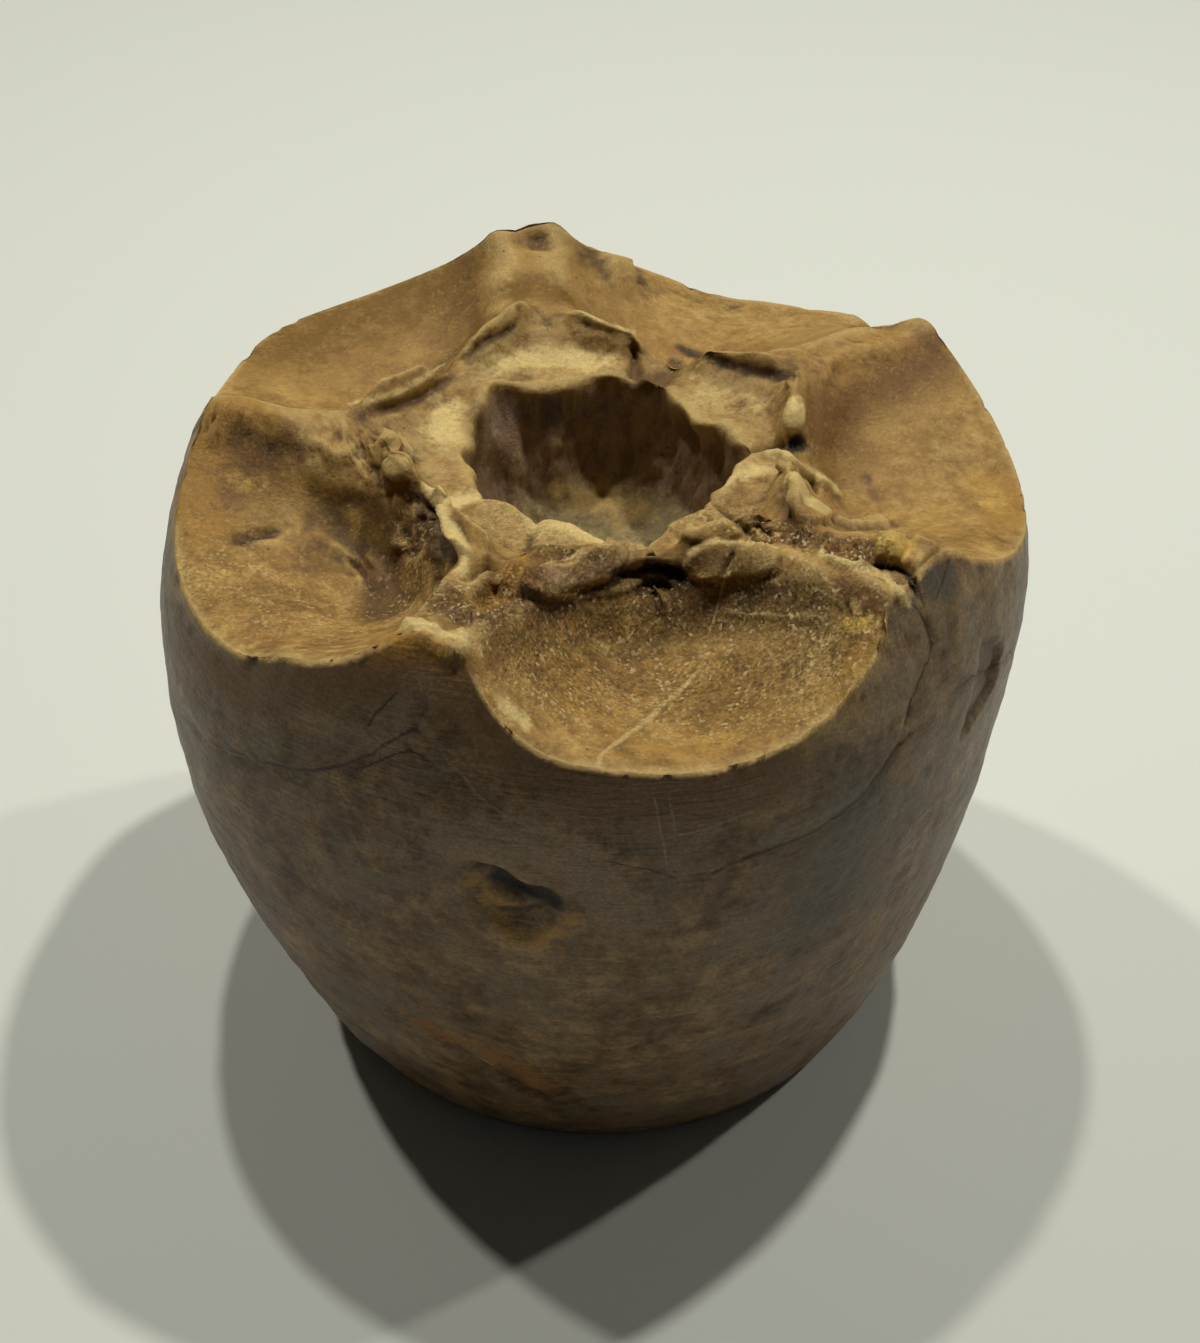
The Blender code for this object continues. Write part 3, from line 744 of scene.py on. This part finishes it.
class Stone:
    """The undressed calyx: its fine points and normals, and casts from the photograph onto it."""

    def __init__(self, node):
        coarse, self.axis = cad_grid(node)
        grid, rings = fine_grid(coarse)
        vertices = [vertex.co / MM for vertex in node.data.vertices]
        faces = [face.vertices[:] for face in node.data.polygons]
        self.tree = BVHTree.FromPolygons(vertices, faces)
        self.columns = grid.shape[1]
        self.places = grid.reshape(-1, 3)
        self.normals = grid_normals(grid).reshape(-1, 3)
        self.ring = np.repeat(rings, self.columns)
        self.azimuth = np.degrees(np.arctan2(self.places[:, 1], self.places[:, 0]))

    def blank(self):
        return np.zeros(len(self.places))

    def zone(self, name):
        """1 in a zone of the surface, and less where it fades in and out."""
        fade_in, fade_out = ZONES[name]
        weight = ease(*fade_in, self.ring) if fade_in else 1.0
        return weight * (1.0 - ease(*fade_out, self.ring)) if fade_out else weight

    def sight(self, pixel):
        """Direction from the camera through a pixel."""
        across = float(pixel[0] - IMAGE_SIZE[0] / 2.0) / FOCAL_PIXELS
        down = float(pixel[1] - IMAGE_SIZE[1] / 2.0) / FOCAL_PIXELS
        forward, upward = camera_axes()
        return (forward + across * Vector((1.0, 0.0, 0.0)) - down * upward).normalized()

    def cast(self, pixel):
        """Point of the CAD calyx that the photograph shows at a pixel."""
        hit = self.tree.ray_cast(Vector(CAMERA_PLACE), self.sight(pixel))[0]
        if hit is None:
            raise ValueError(f"pixel {pixel} isn't on the calyx")
        return hit - Vector(self.axis)

    def cast_level(self, pixel, height):
        """Point at a height that the photograph shows at a pixel."""
        sight = self.sight(pixel)
        camera = Vector(CAMERA_PLACE)
        return camera + sight * ((height - camera.z) / sight.z) - Vector(self.axis)

    def trace(self, path, closed=False):
        """Curve on the stone through the pixels of a path, as a row of close points."""
        points = pixels(path)
        spans = len(points) if closed else len(points) - 1
        steps = np.arange(spans * CURVE_STEPS + (not closed)) / CURVE_STEPS
        smooth = spline(points, steps, closed)
        return np.array([self.cast(pixel) for pixel in smooth])

    def measure(self, path, reach, closed=False):
        """Points within reach of a path's curve: their numbers, distance, side (+1 is left of
        the curve's run in the image) and share of the way along it."""
        curve = self.trace(path, closed)
        low = curve.min(axis=0) - reach
        high = curve.max(axis=0) + reach
        near = np.flatnonzero(((self.places > low) & (self.places < high)).all(axis=1))
        start = curve
        end = np.roll(curve, -1, axis=0)
        if not closed:
            start, end = start[:-1], end[:-1]
        run = end - start
        offset = self.places[near][:, None, :] - start[None]
        share = (offset * run).sum(axis=2) / np.maximum((run**2).sum(axis=1), TINY)
        share = np.clip(share, 0.0, 1.0)
        gap = offset - share[:, :, None] * run
        distance = np.linalg.norm(gap, axis=2)
        best = distance.argmin(axis=1)
        rows = np.arange(len(near))
        distance = distance[rows, best]
        across = np.cross(self.normals[near], run[best])
        side = np.sign((gap[rows, best] * across).sum(axis=1))
        along = (best + share[rows, best]) / len(run)
        keep = distance < reach
        return near[keep], distance[keep], side[keep], along[keep]


def ends_fade(along, ends):
    """1 along the middle of a curve, and 0 at its ends."""
    return ease(0.0, ends, along) * ease(0.0, ends, 1.0 - along)


def ridge_relief(stone):
    """Height of the ridges and grooves, lower towards the ends of each."""
    relief = stone.blank()
    for half_width, height, path in RIDGES.values():
        near, distance, _, along = stone.measure(path, BELL_REACH * half_width)
        taper = RIDGE_END_HEIGHT + (1.0 - RIDGE_END_HEIGHT) * ends_fade(along, RIDGE_ENDS)
        relief[near] += height * hump(distance, half_width) * taper
    return relief


def mound_relief(stone):
    """Height of the flat-topped lumps and scars, even inside the outline of each."""
    relief = stone.blank()
    for edge, height, path in MOUNDS.values():
        near, distance, side, _ = stone.measure(path, MOUND_REACH, closed=True)
        relief[near] += height * ease(-0.5 * edge, 0.5 * edge, -side * distance)
    return relief


def grain(name, places):
    """Fractal noise from about -1 to 1, with features of its size in GRAINS."""
    size, octaves, seed = GRAINS[name]
    shift = Vector(GRAIN_SHIFT) * (seed + 1.0)
    values = []
    for place in (places / size).tolist():
        place = Vector(place) + shift
        values.append(noise.fractal(place, GRAIN_FALL, GRAIN_LACUNARITY, octaves))
    return np.array(values)


def crystal_steps(places, size, seed):
    """Uneven steps from 0 to 1, one level for each crystal of about the given size."""
    shift = Vector(CRYSTAL_SHIFT) * (seed + 1.0)
    values = []
    for place in (places / size).tolist():
        bend = noise.noise_vector(Vector(place) * CRYSTAL_WARP_SCALE + shift)
        warped = Vector(place) + CRYSTAL_WARP * bend
        values.append(noise.cell(warped + shift))
    return np.array(values)


def crust_relief(stone):
    """Height of the crusts, with a level of its own for each crystal."""
    relief = stone.blank()
    for half_width, height, path in CRUSTS.values():
        near, distance, _, _ = stone.measure(path, MASK_REACH * half_width)
        places = stone.places[near]
        lumps = sum(share * crystal_steps(places, size, seed) for size, share, seed in CRYSTALS)
        relief[near] += height * hump(distance, half_width) * (lumps - CRUST_SINK)
    return relief


def hidden_seams(stone):
    """Distance and weight of the hidden level seam, and of those down from the corners."""
    places = stone.places
    height = places[:, 2].reshape(-1, stone.columns)
    edge = height[stone.ring[:: stone.columns] == EDGE_RING]
    drop = (edge - height).ravel()
    wander = grain("wander", places * SEAM_STRETCH)
    level = drop - SEAM_DROP - SEAM_WANDER_LEVEL * wander
    spread = np.abs(turn_between(stone.azimuth, SEAM_MIDDLE))
    behind = 1.0 - ease(SEAM_SPREAD - SEAM_END, SEAM_SPREAD, spread)
    turns = np.stack([turn_between(stone.azimuth, corner) for corner in SEAM_CORNERS])
    turn = turns[np.abs(turns).argmin(axis=0), np.arange(len(places))]
    radius = np.hypot(places[:, 0], places[:, 1])
    upright = radius * np.radians(turn) + SEAM_WANDER_UPRIGHT * wander
    upper = ease(*SEAM_TOP, drop) * ease(-SEAM_JOINT, SEAM_JOINT, -level)
    wall = stone.zone("wall")
    return {"level": (level, behind * wall), "upright": (upright, upper * wall)}


# ---- Relief of the whole stone ----


def stone_relief(stone, seams):
    """Height of the fine relief along the normals."""
    places = stone.places
    broad = grain("broad", places)
    fine = grain("fine", places)
    relief = stone.blank()
    for zone, (broad_depth, fine_depth) in GRAIN_DEPTHS.items():
        relief += stone.zone(zone) * (broad_depth * broad + fine_depth * fine)
    relief += GROWTH_DEPTH * stone.zone("wall") * grain("growth", places * GROWTH_STRETCH)
    radius = np.hypot(places[:, 0], places[:, 1])
    spiral = np.stack([stone.azimuth, radius, places[:, 2]], axis=1)
    relief += TERRACE_DEPTH * stone.zone("terraces") * grain("terraces", spiral * TERRACE_STRETCH)
    relief += ridge_relief(stone) + mound_relief(stone) + crust_relief(stone)
    for distance, weight in seams.values():
        relief -= SEAM_DEPTH * weight * hump(distance, GROOVE_WIDTH)
    return relief


def cavity_folds(stone):
    """Outward shift that turns the even CAD ribs of the cavity into uneven grooves and folds."""
    height = stone.places[:, 2]
    turn = np.radians(stone.azimuth)
    swirl = turn + GROOVE_SWIRL * height
    around = np.stack([np.cos(swirl), np.sin(swirl), GROOVE_RISE * height], axis=1)
    grooves = GROOVE_DEPTH * grain("grooves", around) * stone.zone("grooves")
    even = RIB_SHARE * CAD_RIB_DEPTH * np.cos(CAD_RIBS * turn)
    return stone.zone("ribs") * (even + grooves + FOLD_DEPTH * grain("folds", stone.places))


def edge_chips(stone):
    """Depth that wear takes off the sharp edge of the facets."""
    least, most = EDGE_WEAR
    return stone.zone("edge") * (least + most * np.maximum(grain("chips", stone.places), 0.0))


def level_shifts(stone):
    """Level shifts, each from one pixel of the photograph to another, and rises and sinks."""
    shift = np.zeros_like(stone.places)
    for reach, path in SHIFTS.values():
        start, end = pixels(path)
        centre = stone.cast(start)
        target = stone.cast_level(end, centre.z)
        gap = np.linalg.norm(stone.places - centre, axis=1)
        shift += hump(gap, reach)[:, None] * np.array(target - centre)
    for reach, height, path in SWELLS.values():
        near, distance, _, _ = stone.measure(path, BELL_REACH * reach)
        shift[near, 2] += height * hump(distance, reach)
    return shift


def dressed_grid(stone, seams):
    """The stone's points with all their relief, over a foot that stays as it is."""
    turn = np.radians(stone.azimuth)
    outward = np.stack([np.cos(turn), np.sin(turn), 0.0 * turn], axis=1)
    moved = stone.places + stone.normals * stone_relief(stone, seams)[:, None]
    moved += outward * cavity_folds(stone)[:, None]
    moved += level_shifts(stone)
    moved -= stone.normals * edge_chips(stone)[:, None]
    moved[:, 2] = np.maximum(moved[:, 2], 0.0)
    foot = stone.ring < FOOT_END
    moved[foot] = stone.places[foot]
    grid = moved.reshape(-1, stone.columns, 3)
    grid[0] = grid[0].mean(axis=0)
    grid[-1] = grid[-1].mean(axis=0)
    return grid


def concavity(grid, reach):
    """How far each point lies below the middle of its neighbours, along its normal."""
    beside = 0.5 * (np.roll(grid, reach, axis=1) + np.roll(grid, -reach, axis=1))
    padded = np.concatenate([grid[:1]] * reach + [grid] + [grid[-1:]] * reach)
    along = 0.5 * (padded[: -2 * reach] + padded[2 * reach :])
    middle = 0.5 * (beside + along)
    return ((middle - grid) * grid_normals(grid)).sum(axis=2)


def grid_mesh(name, grid, axis):
    """Closed mesh of a grid whose first and last rings are single points."""
    rings, columns = grid.shape[:2]
    inner = grid[1:-1].reshape(-1, 3)
    places = np.concatenate([inner, grid[0, :1], grid[-1, :1]]) + axis
    row = np.arange(columns)
    beside = (row + 1) % columns
    quads = []
    for ring in range(rings - 3):
        low = ring * columns
        high = low + columns
        quads += np.stack([low + row, low + beside, high + beside, high + row], 1).tolist()
    bottom = len(inner)
    top = bottom + 1
    last = (rings - 3) * columns
    fans = np.stack([np.full(columns, bottom), beside, row], 1).tolist()
    fans += np.stack([np.full(columns, top), last + row, last + beside], 1).tolist()
    mesh = bpy.data.meshes.new(name)
    mesh.from_pydata((places * MM).tolist(), [], quads + fans)
    mesh.shade_smooth()
    return mesh


# ---- Masks: one value a point, which the material reads ----


def stain_masks(stone):
    """Strength of each paint, of the sugar and of the calm."""
    masks = {}
    for paint, rows in STAINS.items():
        mask = stone.blank()
        for half_width, strength, path in rows.values():
            near, distance, _, _ = stone.measure(path, MASK_REACH * half_width)
            mask[near] = np.maximum(mask[near], strength * hump(distance, half_width))
        masks[paint] = mask
    for paint in WALL_PAINTS:
        masks[paint] *= stone.zone("below_edge")
    masks["pale"] *= 1.0 - stone.zone("inside")
    masks["sugar"] = np.maximum(masks["sugar"], LEAST_SUGAR)
    return masks


def surface_masks(stone, grid):
    """Zones of the surface, dirt and painted shade in its hollows, and wear and painted highlights on its
    crests.
    """
    bent = sum(share * concavity(grid, reach).ravel() for reach, share in BENDS)
    top = stone.zone("above_edge")
    inside = stone.zone("inside")
    sheltered = 1.0 - CAVITY_SHELTER * inside
    hollow_dirt_and_shade, top_dirt_and_shade = SHADE_AND_DIRT_STRENGTH
    crest_wear_and_highlight, top_wear_and_highlight = WEAR_AND_HIGHLIGHT_STRENGTH
    return {
        "shade_and_dirt": ease(*SHADE_AND_DIRT_BEND, bent) * (hollow_dirt_and_shade + top_dirt_and_shade * top) * sheltered,
        "wear_and_highlight": ease(*WEAR_AND_HIGHLIGHT_BEND, -bent) * (crest_wear_and_highlight + top_wear_and_highlight * top) * sheltered,
        "wall": stone.zone("below_edge"),
        "ledge": stone.zone("pale_ledge"),
        "cavity": inside,
        "cavity_floor": stone.zone("cavity_floor"),
    }


def line_fade(distance):
    """1 near a thin line, and 0 where its reach ends."""
    return 1.0 - ease(0.5 * LINE_REACH, LINE_REACH, distance)


def free_layer(layers, kind, near, stone):
    """The first layer of a kind whose lines don't come near the given points."""
    number = 0
    while (kind, number) in layers and (layers[kind, number][1][near] > 0.0).any():
        number += 1
    far = np.full(len(stone.places), LINE_FAR)
    return layers.setdefault((kind, number), (far, stone.blank()))


def line_layers(stone, seams):
    """Layers of thin lines that keep apart: the distance in half widths, and the weight."""
    layers = {}
    for kind, half_width, path in LINES.values():
        near, distance, side, along = stone.measure(path, LINE_REACH)
        offset, weight = free_layer(layers, kind, near, stone)
        offset[near] = side * distance / half_width
        weight[near] = ends_fade(along, LINE_ENDS) * line_fade(distance) + LEAST_WEIGHT
    for name, (distance, weight) in seams.items():
        layers["crack", name] = (distance / SEAM_WIDTH, weight * line_fade(np.abs(distance)))
    return layers


def keep_mask(mesh, name, values, columns):
    """Writes one value a point of the mesh; values covers the whole grid."""
    values = values.reshape(-1, columns)
    ordered = np.concatenate([values[1:-1].ravel(), values[0, :1], values[-1, :1]])
    attribute = mesh.attributes.new(name, "FLOAT", "POINT")
    attribute.data.foreach_set("value", ordered.astype(np.float32))


# ---- Material ----


class Nodes:
    """Short ways to add and join the nodes of one material."""

    def __init__(self, tree):
        self.tree = tree

    def add(self, kind, inputs=(), **settings):
        node = self.tree.nodes.new(kind)
        for name, value in settings.items():
            setattr(node, name, value)
        for name, value in dict(inputs).items():
            self.put(node.inputs[name], value)
        return node

    def put(self, socket, value):
        """Joins another node's output to a socket, or sets the socket's value."""
        if isinstance(value, bpy.types.NodeSocket):
            self.tree.links.new(value, socket)
        elif isinstance(value, tuple) and socket.type == "RGBA":
            socket.default_value = (*value, 1.0)
        else:
            socket.default_value = value

    def mask(self, name):
        return self.add("ShaderNodeAttribute", attribute_name=name).outputs["Fac"]

    def maths(self, operation, *values):
        return self.add("ShaderNodeMath", enumerate(values), operation=operation).outputs[0]

    def vectors(self, operation, *values):
        return self.add("ShaderNodeVectorMath", enumerate(values), operation=operation).outputs[0]

    def blend(self, first, share, second):
        """Sum in which the first value has the given share and the second has the rest."""
        return self.maths("MULTIPLY_ADD", first, share, self.maths("MULTIPLY", second, 1.0 - share))

    def between(self, value, start, end, low, high):
        """Smooth step from low at start to high at end."""
        inputs = {"Value": value, "From Min": start, "From Max": end, "To Min": low, "To Max": high}
        node = self.add("ShaderNodeMapRange", inputs, interpolation_type="SMOOTHSTEP")
        return node.outputs["Result"]

    def step(self, value, name):
        return self.between(value, *STEPS[name])

    def on_wall(self, elsewhere, there):
        """One value on the wall and another on the rest of the stone."""
        return self.between(self.mask("wall"), 0.0, 1.0, elsewhere, there)

    def mix(self, factor, first, second, blend="MIX"):
        node = self.add("ShaderNodeMix", data_type="RGBA", blend_type=blend)
        self.put(node.inputs[0], factor)
        self.put(node.inputs[MIX_FIRST], first)
        self.put(node.inputs[MIX_SECOND], second)
        return node.outputs[MIX_RESULT]

    def ramp(self, value, stops):
        node = self.add("ShaderNodeValToRGB", {"Fac": value})
        elements = node.color_ramp.elements
        elements.remove(elements[1])
        elements[0].position = stops[0][0]
        for place, _ in stops[1:]:
            elements.new(place)
        for element, (_, colour) in zip(elements, stops):
            element.color = (*colour, 1.0)
        return node.outputs["Color"]

    def noise(self, mm, name):
        scale, detail, roughness, distortion = TEXTURES[name]
        if name in TEXTURE_STRETCHES:
            mm = self.vectors("MULTIPLY", mm, TEXTURE_STRETCHES[name])
        inputs = {"Vector": mm, "Scale": scale, "Detail": detail, "Roughness": roughness}
        inputs["Distortion"] = distortion
        return self.add("ShaderNodeTexNoise", inputs).outputs["Fac"]

    def cells(self, mm, scale):
        return self.add("ShaderNodeTexVoronoi", {"Vector": mm, "Scale": scale}).outputs


def line_mask(nodes, layer, wobble):
    """1 on the thin lines of one layer."""
    offset = nodes.maths("ADD", nodes.mask(layer + "_offset"), wobble)
    thin = nodes.step(nodes.maths("ABSOLUTE", offset), "line")
    return nodes.maths("MULTIPLY", thin, nodes.mask(layer + "_weight"))


def stain_mask(nodes, paint, uneven):
    """The mask of one paint, with its border broken up by noise."""
    mask = nodes.mask(paint)
    pushed = nodes.maths("MULTIPLY_ADD", uneven, STAIN_BREAK, mask)
    inside = nodes.maths("MULTIPLY", nodes.step(mask, "stain_border"), nodes.step(mask, "stain_middle"))
    return nodes.maths("MULTIPLY", nodes.step(pushed, "stain_break"), inside)


def wall_colour(nodes, mm, tone):
    """Streaky colour of the wall, with pale clouds."""
    tone = nodes.blend(nodes.noise(mm, "streak"), STREAK_SHARE, tone)
    cloud = nodes.step(nodes.noise(mm, "cloud"), "cloud")
    return nodes.mix(cloud, nodes.ramp(tone, WALL_COLOURS), WALL_CLOUD_COLOUR)


def cavity_colour(nodes, mm, patchy):
    """Colour of the cavity, with its own floor and dark drips down the wall."""
    floor = nodes.maths("SUBTRACT", nodes.mask("cavity_floor"), MIDDLE * FLOOR_BREAK)
    low = nodes.step(nodes.maths("MULTIPLY_ADD", patchy, FLOOR_BREAK, floor), "cavity_floor")
    colour = nodes.mix(low, CAVITY_WALL_COLOUR, CAVITY_FLOOR_COLOUR)
    return nodes.mix(nodes.step(nodes.noise(mm, "drips"), "drips"), colour, SHADE_AND_DIRT_COLOUR)


def body_colour(nodes, mm, patchy):
    """Colour of the bare stone: facets, ledge, wall and cavity, with painted highlights and wear on its
    crests and painted shade and dirt in its hollows.
    """
    tone = nodes.blend(patchy, PATCHY_SHARE, nodes.noise(mm, "broad"))
    contrast = nodes.step(nodes.mask("calm"), "calm")
    tone = nodes.maths("MULTIPLY_ADD", nodes.maths("SUBTRACT", tone, MIDDLE), contrast, MIDDLE)
    worn = nodes.maths("MULTIPLY", nodes.mask("ledge"), nodes.step(tone, "worn"))
    colour = nodes.mix(worn, nodes.ramp(tone, TOP_COLOURS), LEDGE_COLOUR)
    colour = nodes.mix(nodes.mask("wall"), colour, wall_colour(nodes, mm, tone))
    colour = nodes.mix(nodes.mask("cavity"), colour, cavity_colour(nodes, mm, patchy))
    # Painted highlights with wear on the crests, and painted shade with dirt in the hollows
    colour = nodes.mix(nodes.mask("wear_and_highlight"), colour, WEAR_AND_HIGHLIGHT_COLOUR)
    return nodes.mix(nodes.mask("shade_and_dirt"), colour, SHADE_AND_DIRT_COLOUR)


def lined_colour(nodes, colour, layers, wobble):
    """The colour with the thin lines on it."""
    for kind, name in layers:
        strength = nodes.maths("MULTIPLY", line_mask(nodes, f"{kind}_{name}", wobble), OVERLAY)
        colour = nodes.mix(strength, colour, LINE_COLOURS[kind])
    return colour


def grainy_colour(nodes, colour, speck, crystal, glint):
    """The colour shaded from crystal to crystal, with painted glints."""
    sugary = nodes.step(nodes.mask("sugar"), "grain_shade")
    depth = nodes.on_wall(sugary, WALL_GRAIN_SHADE)
    shade = nodes.maths("MULTIPLY", nodes.step(speck, "speck"), crystal)
    shades = nodes.add("ShaderNodeCombineColor", {"Red": shade, "Green": shade, "Blue": shade})
    colour = nodes.mix(depth, colour, shades.outputs[0], "MULTIPLY")
    # Painted glints on the crystals that catch the lamps
    return nodes.mix(nodes.maths("MULTIPLY", glint, OVERLAY), colour, GLINT_COLOUR)


def pored_colour(nodes, colour, mm):
    """The colour with small dark pores in some places."""
    pores = nodes.step(nodes.cells(mm, PORES_PER_MM)["Distance"], "pores")
    some = nodes.step(nodes.noise(mm, "pored"), "pored")
    strength = nodes.maths("MULTIPLY", nodes.maths("MULTIPLY", pores, some), OVERLAY)
    return nodes.mix(strength, colour, SHADE_AND_DIRT_COLOUR)


def stone_colour(nodes, mm, glint, crystal, layers):
    """Colour of the bare stone under its stains, painted shade, light and highlights, thin lines,
    crystals, painted glints and pores.
    """
    patchy = nodes.noise(mm, "patchy")
    speck = nodes.noise(mm, "speck")
    colour = body_colour(nodes, mm, patchy)
    uneven = nodes.maths("SUBTRACT", patchy, MIDDLE)
    # Stains, and painted shade, shadow, light and highlights, laid one paint after another
    for paint, paint_colour in PAINT_COLOURS.items():
        colour = nodes.mix(stain_mask(nodes, paint, uneven), colour, paint_colour)
    wave = nodes.maths("MULTIPLY_ADD", patchy, LINE_WAVE, -MIDDLE * (LINE_WAVE + LINE_SPECK))
    wobble = nodes.maths("MULTIPLY_ADD", speck, LINE_SPECK, wave)
    colour = lined_colour(nodes, colour, layers, wobble)
    colour = grainy_colour(nodes, colour, speck, crystal, glint)
    return pored_colour(nodes, colour, mm)


def stone_roughness(nodes, mm, glint):
    """Roughness, uneven all over and lower on wet spots and glinting crystals."""
    centred = -MIDDLE * ROUGHNESS_SPREAD
    uneven = nodes.maths("MULTIPLY_ADD", nodes.noise(mm, "polish"), ROUGHNESS_SPREAD, centred)
    rough = nodes.maths("ADD", nodes.on_wall(TOP_ROUGHNESS, WALL_ROUGHNESS), uneven)
    shiny = nodes.maths("MAXIMUM", glint, nodes.maths("MULTIPLY", nodes.mask("wet"), WET_POLISH))
    return nodes.maths("SUBTRACT", rough, nodes.step(shiny, "polish"))


def bump(nodes, height, distance, strength, **normal):
    inputs = {"Height": height, "Distance": distance * MM, "Strength": strength}
    return nodes.add("ShaderNodeBump", inputs | normal).outputs[0]


def stone_normal(nodes, mm, bare, glint, tints):
    """Normal with a fine grain, growth lines on the wall and a tilt for each sugary crystal."""
    rough = nodes.on_wall(nodes.step(nodes.mask("sugar"), "grain_bump"), WALL_GRAIN_BUMP)
    grainy = bump(nodes, nodes.noise(mm, "grain"), GRAIN_BUMP, rough)
    lined = nodes.maths("MULTIPLY", nodes.mask("wall"), GROWTH_STRENGTH)
    grown = bump(nodes, nodes.noise(mm, "growth"), GROWTH_BUMP, lined, Normal=grainy)
    sharp = nodes.maths("MULTIPLY", nodes.mask("sugar"), CRYSTAL_TILT)
    amount = nodes.maths("MULTIPLY_ADD", glint, GLINT_TILT, nodes.maths("MULTIPLY", bare, sharp))
    tilt = nodes.add("ShaderNodeVectorMath", operation="SCALE")
    nodes.put(tilt.inputs[0], nodes.vectors("SUBTRACT", tints, (MIDDLE, MIDDLE, MIDDLE)))
    nodes.put(tilt.inputs["Scale"], amount)
    return nodes.vectors("NORMALIZE", nodes.vectors("ADD", grown, tilt.outputs[0]))


def stone_material(layers):
    material = bpy.data.materials.new("fossil_stone")
    material.use_nodes = True
    nodes = Nodes(material.node_tree)
    spot = nodes.add("ShaderNodeTexCoord").outputs["Object"]
    mm = nodes.vectors("MULTIPLY", spot, (1.0 / MM, 1.0 / MM, 1.0 / MM))
    tints = nodes.cells(mm, CRYSTALS_PER_MM)["Color"]
    chance = nodes.add("ShaderNodeSeparateColor", {"Color": tints}).outputs
    covered = nodes.maths("MAXIMUM", nodes.mask("wall"), nodes.mask("cavity"))
    bare = nodes.maths("SUBTRACT", 1.0, covered)
    crystal = nodes.step(chance["Red"], "crystal")
    sugary = nodes.maths("MULTIPLY", bare, nodes.mask("sugar"))
    clusters = nodes.maths("MULTIPLY", sugary, nodes.step(nodes.noise(mm, "clusters"), "clusters"))
    glint = nodes.maths("MULTIPLY", nodes.step(chance["Green"], "glint_cells"), clusters)
    shader = material.node_tree.nodes["Principled BSDF"].inputs
    nodes.put(shader["Base Color"], stone_colour(nodes, mm, glint, crystal, layers))
    nodes.put(shader["Specular IOR Level"], nodes.on_wall(TOP_SPECULAR, WALL_SPECULAR))
    nodes.put(shader["Roughness"], stone_roughness(nodes, mm, glint))
    nodes.put(shader["Normal"], stone_normal(nodes, mm, bare, glint, tints))
    return material


# ---- The dressed calyx ----


def dressed_calyx():
    stone = Stone(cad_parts[NODE])
    seams = hidden_seams(stone)
    grid = dressed_grid(stone, seams)
    mesh = grid_mesh("calyx_stone", grid, stone.axis)
    layers = line_layers(stone, seams)
    masks = stain_masks(stone) | surface_masks(stone, grid)
    for (kind, name), (offset, weight) in layers.items():
        masks[f"{kind}_{name}_offset"] = offset
        masks[f"{kind}_{name}_weight"] = weight
    for name, values in masks.items():
        keep_mask(mesh, name, values, stone.columns)
    mesh.materials.append(stone_material(layers))
    piece = bpy.data.objects.new("calyx_stone", mesh)
    bpy.context.scene.collection.objects.link(piece)
    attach(piece, "root")
    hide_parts(NODE)


# ---- Floor, lamps and camera ----


def aim(item, place, target):
    """Puts a lamp or camera at a place and turns it to face the target."""
    item.location = Vector(place) * MM
    forward = Vector(target) - Vector(place)
    item.rotation_euler = forward.to_track_quat("-Z", "Y").to_euler()


def add_floor():
    mesh = bpy.data.meshes.new("floor")
    half = FLOOR_SIZE * MM / 2.0
    corners = [(-half, -half, 0.0), (half, -half, 0.0), (half, half, 0.0), (-half, half, 0.0)]
    mesh.from_pydata(corners, [], [(0, 1, 2, 3)])
    material = bpy.data.materials.new("floor_paper")
    material.use_nodes = True
    shader = material.node_tree.nodes["Principled BSDF"]
    shader.inputs["Base Color"].default_value = (*FLOOR_COLOUR, 1.0)
    shader.inputs["Roughness"].default_value = FLOOR_ROUGHNESS
    mesh.materials.append(material)
    floor = bpy.data.objects.new("floor", mesh)
    bpy.context.scene.collection.objects.link(floor)


def add_lamp(name):
    """Disk lamp, with the power that gives its brightness to a white floor under the calyx."""
    place, width, brightness = LAMPS[name]
    distance = Vector(place).length
    slant = place[2] / distance
    light = bpy.data.lights.new(name, "AREA")
    light.shape = "DISK"
    light.size = width * MM
    light.energy = brightness * math.pi**2 * (distance * MM) ** 2 / slant
    light.color = LAMP_COLOUR
    lamp = bpy.data.objects.new(name, light)
    bpy.context.scene.collection.objects.link(lamp)
    aim(lamp, place, LAMP_TARGET)


def add_sky():
    """Dim sky that lights the scene, and looks brighter where the camera sees it itself."""
    world = bpy.data.worlds.new("studio")
    world.use_nodes = True
    background = world.node_tree.nodes["Background"]
    background.inputs["Color"].default_value = (*SKY_COLOUR, 1.0)
    path = world.node_tree.nodes.new("ShaderNodeLightPath")
    seen = world.node_tree.nodes.new("ShaderNodeMapRange")
    seen.inputs["To Min"].default_value = SKY_STRENGTH
    seen.inputs["To Max"].default_value = BACKDROP_STRENGTH
    world.node_tree.links.new(path.outputs["Is Camera Ray"], seen.inputs["Value"])
    world.node_tree.links.new(seen.outputs["Result"], background.inputs["Strength"])
    bpy.context.scene.world = world


def add_camera():
    data = bpy.data.cameras.new("camera")
    data.sensor_width = SENSOR
    data.lens = FOCAL_PIXELS * SENSOR / max(IMAGE_SIZE)
    data.clip_start = MM
    camera = bpy.data.objects.new("camera", data)
    bpy.context.scene.collection.objects.link(camera)
    forward, _ = camera_axes()
    aim(camera, CAMERA_PLACE, Vector(CAMERA_PLACE) + forward)
    bpy.context.scene.camera = camera


add_camera()
add_floor()
add_sky()
for lamp_name in LAMPS:
    add_lamp(lamp_name)
bpy.context.scene.view_settings.view_transform = "Standard"
noise.seed_set(NOISE_SEED)
dressed_calyx()
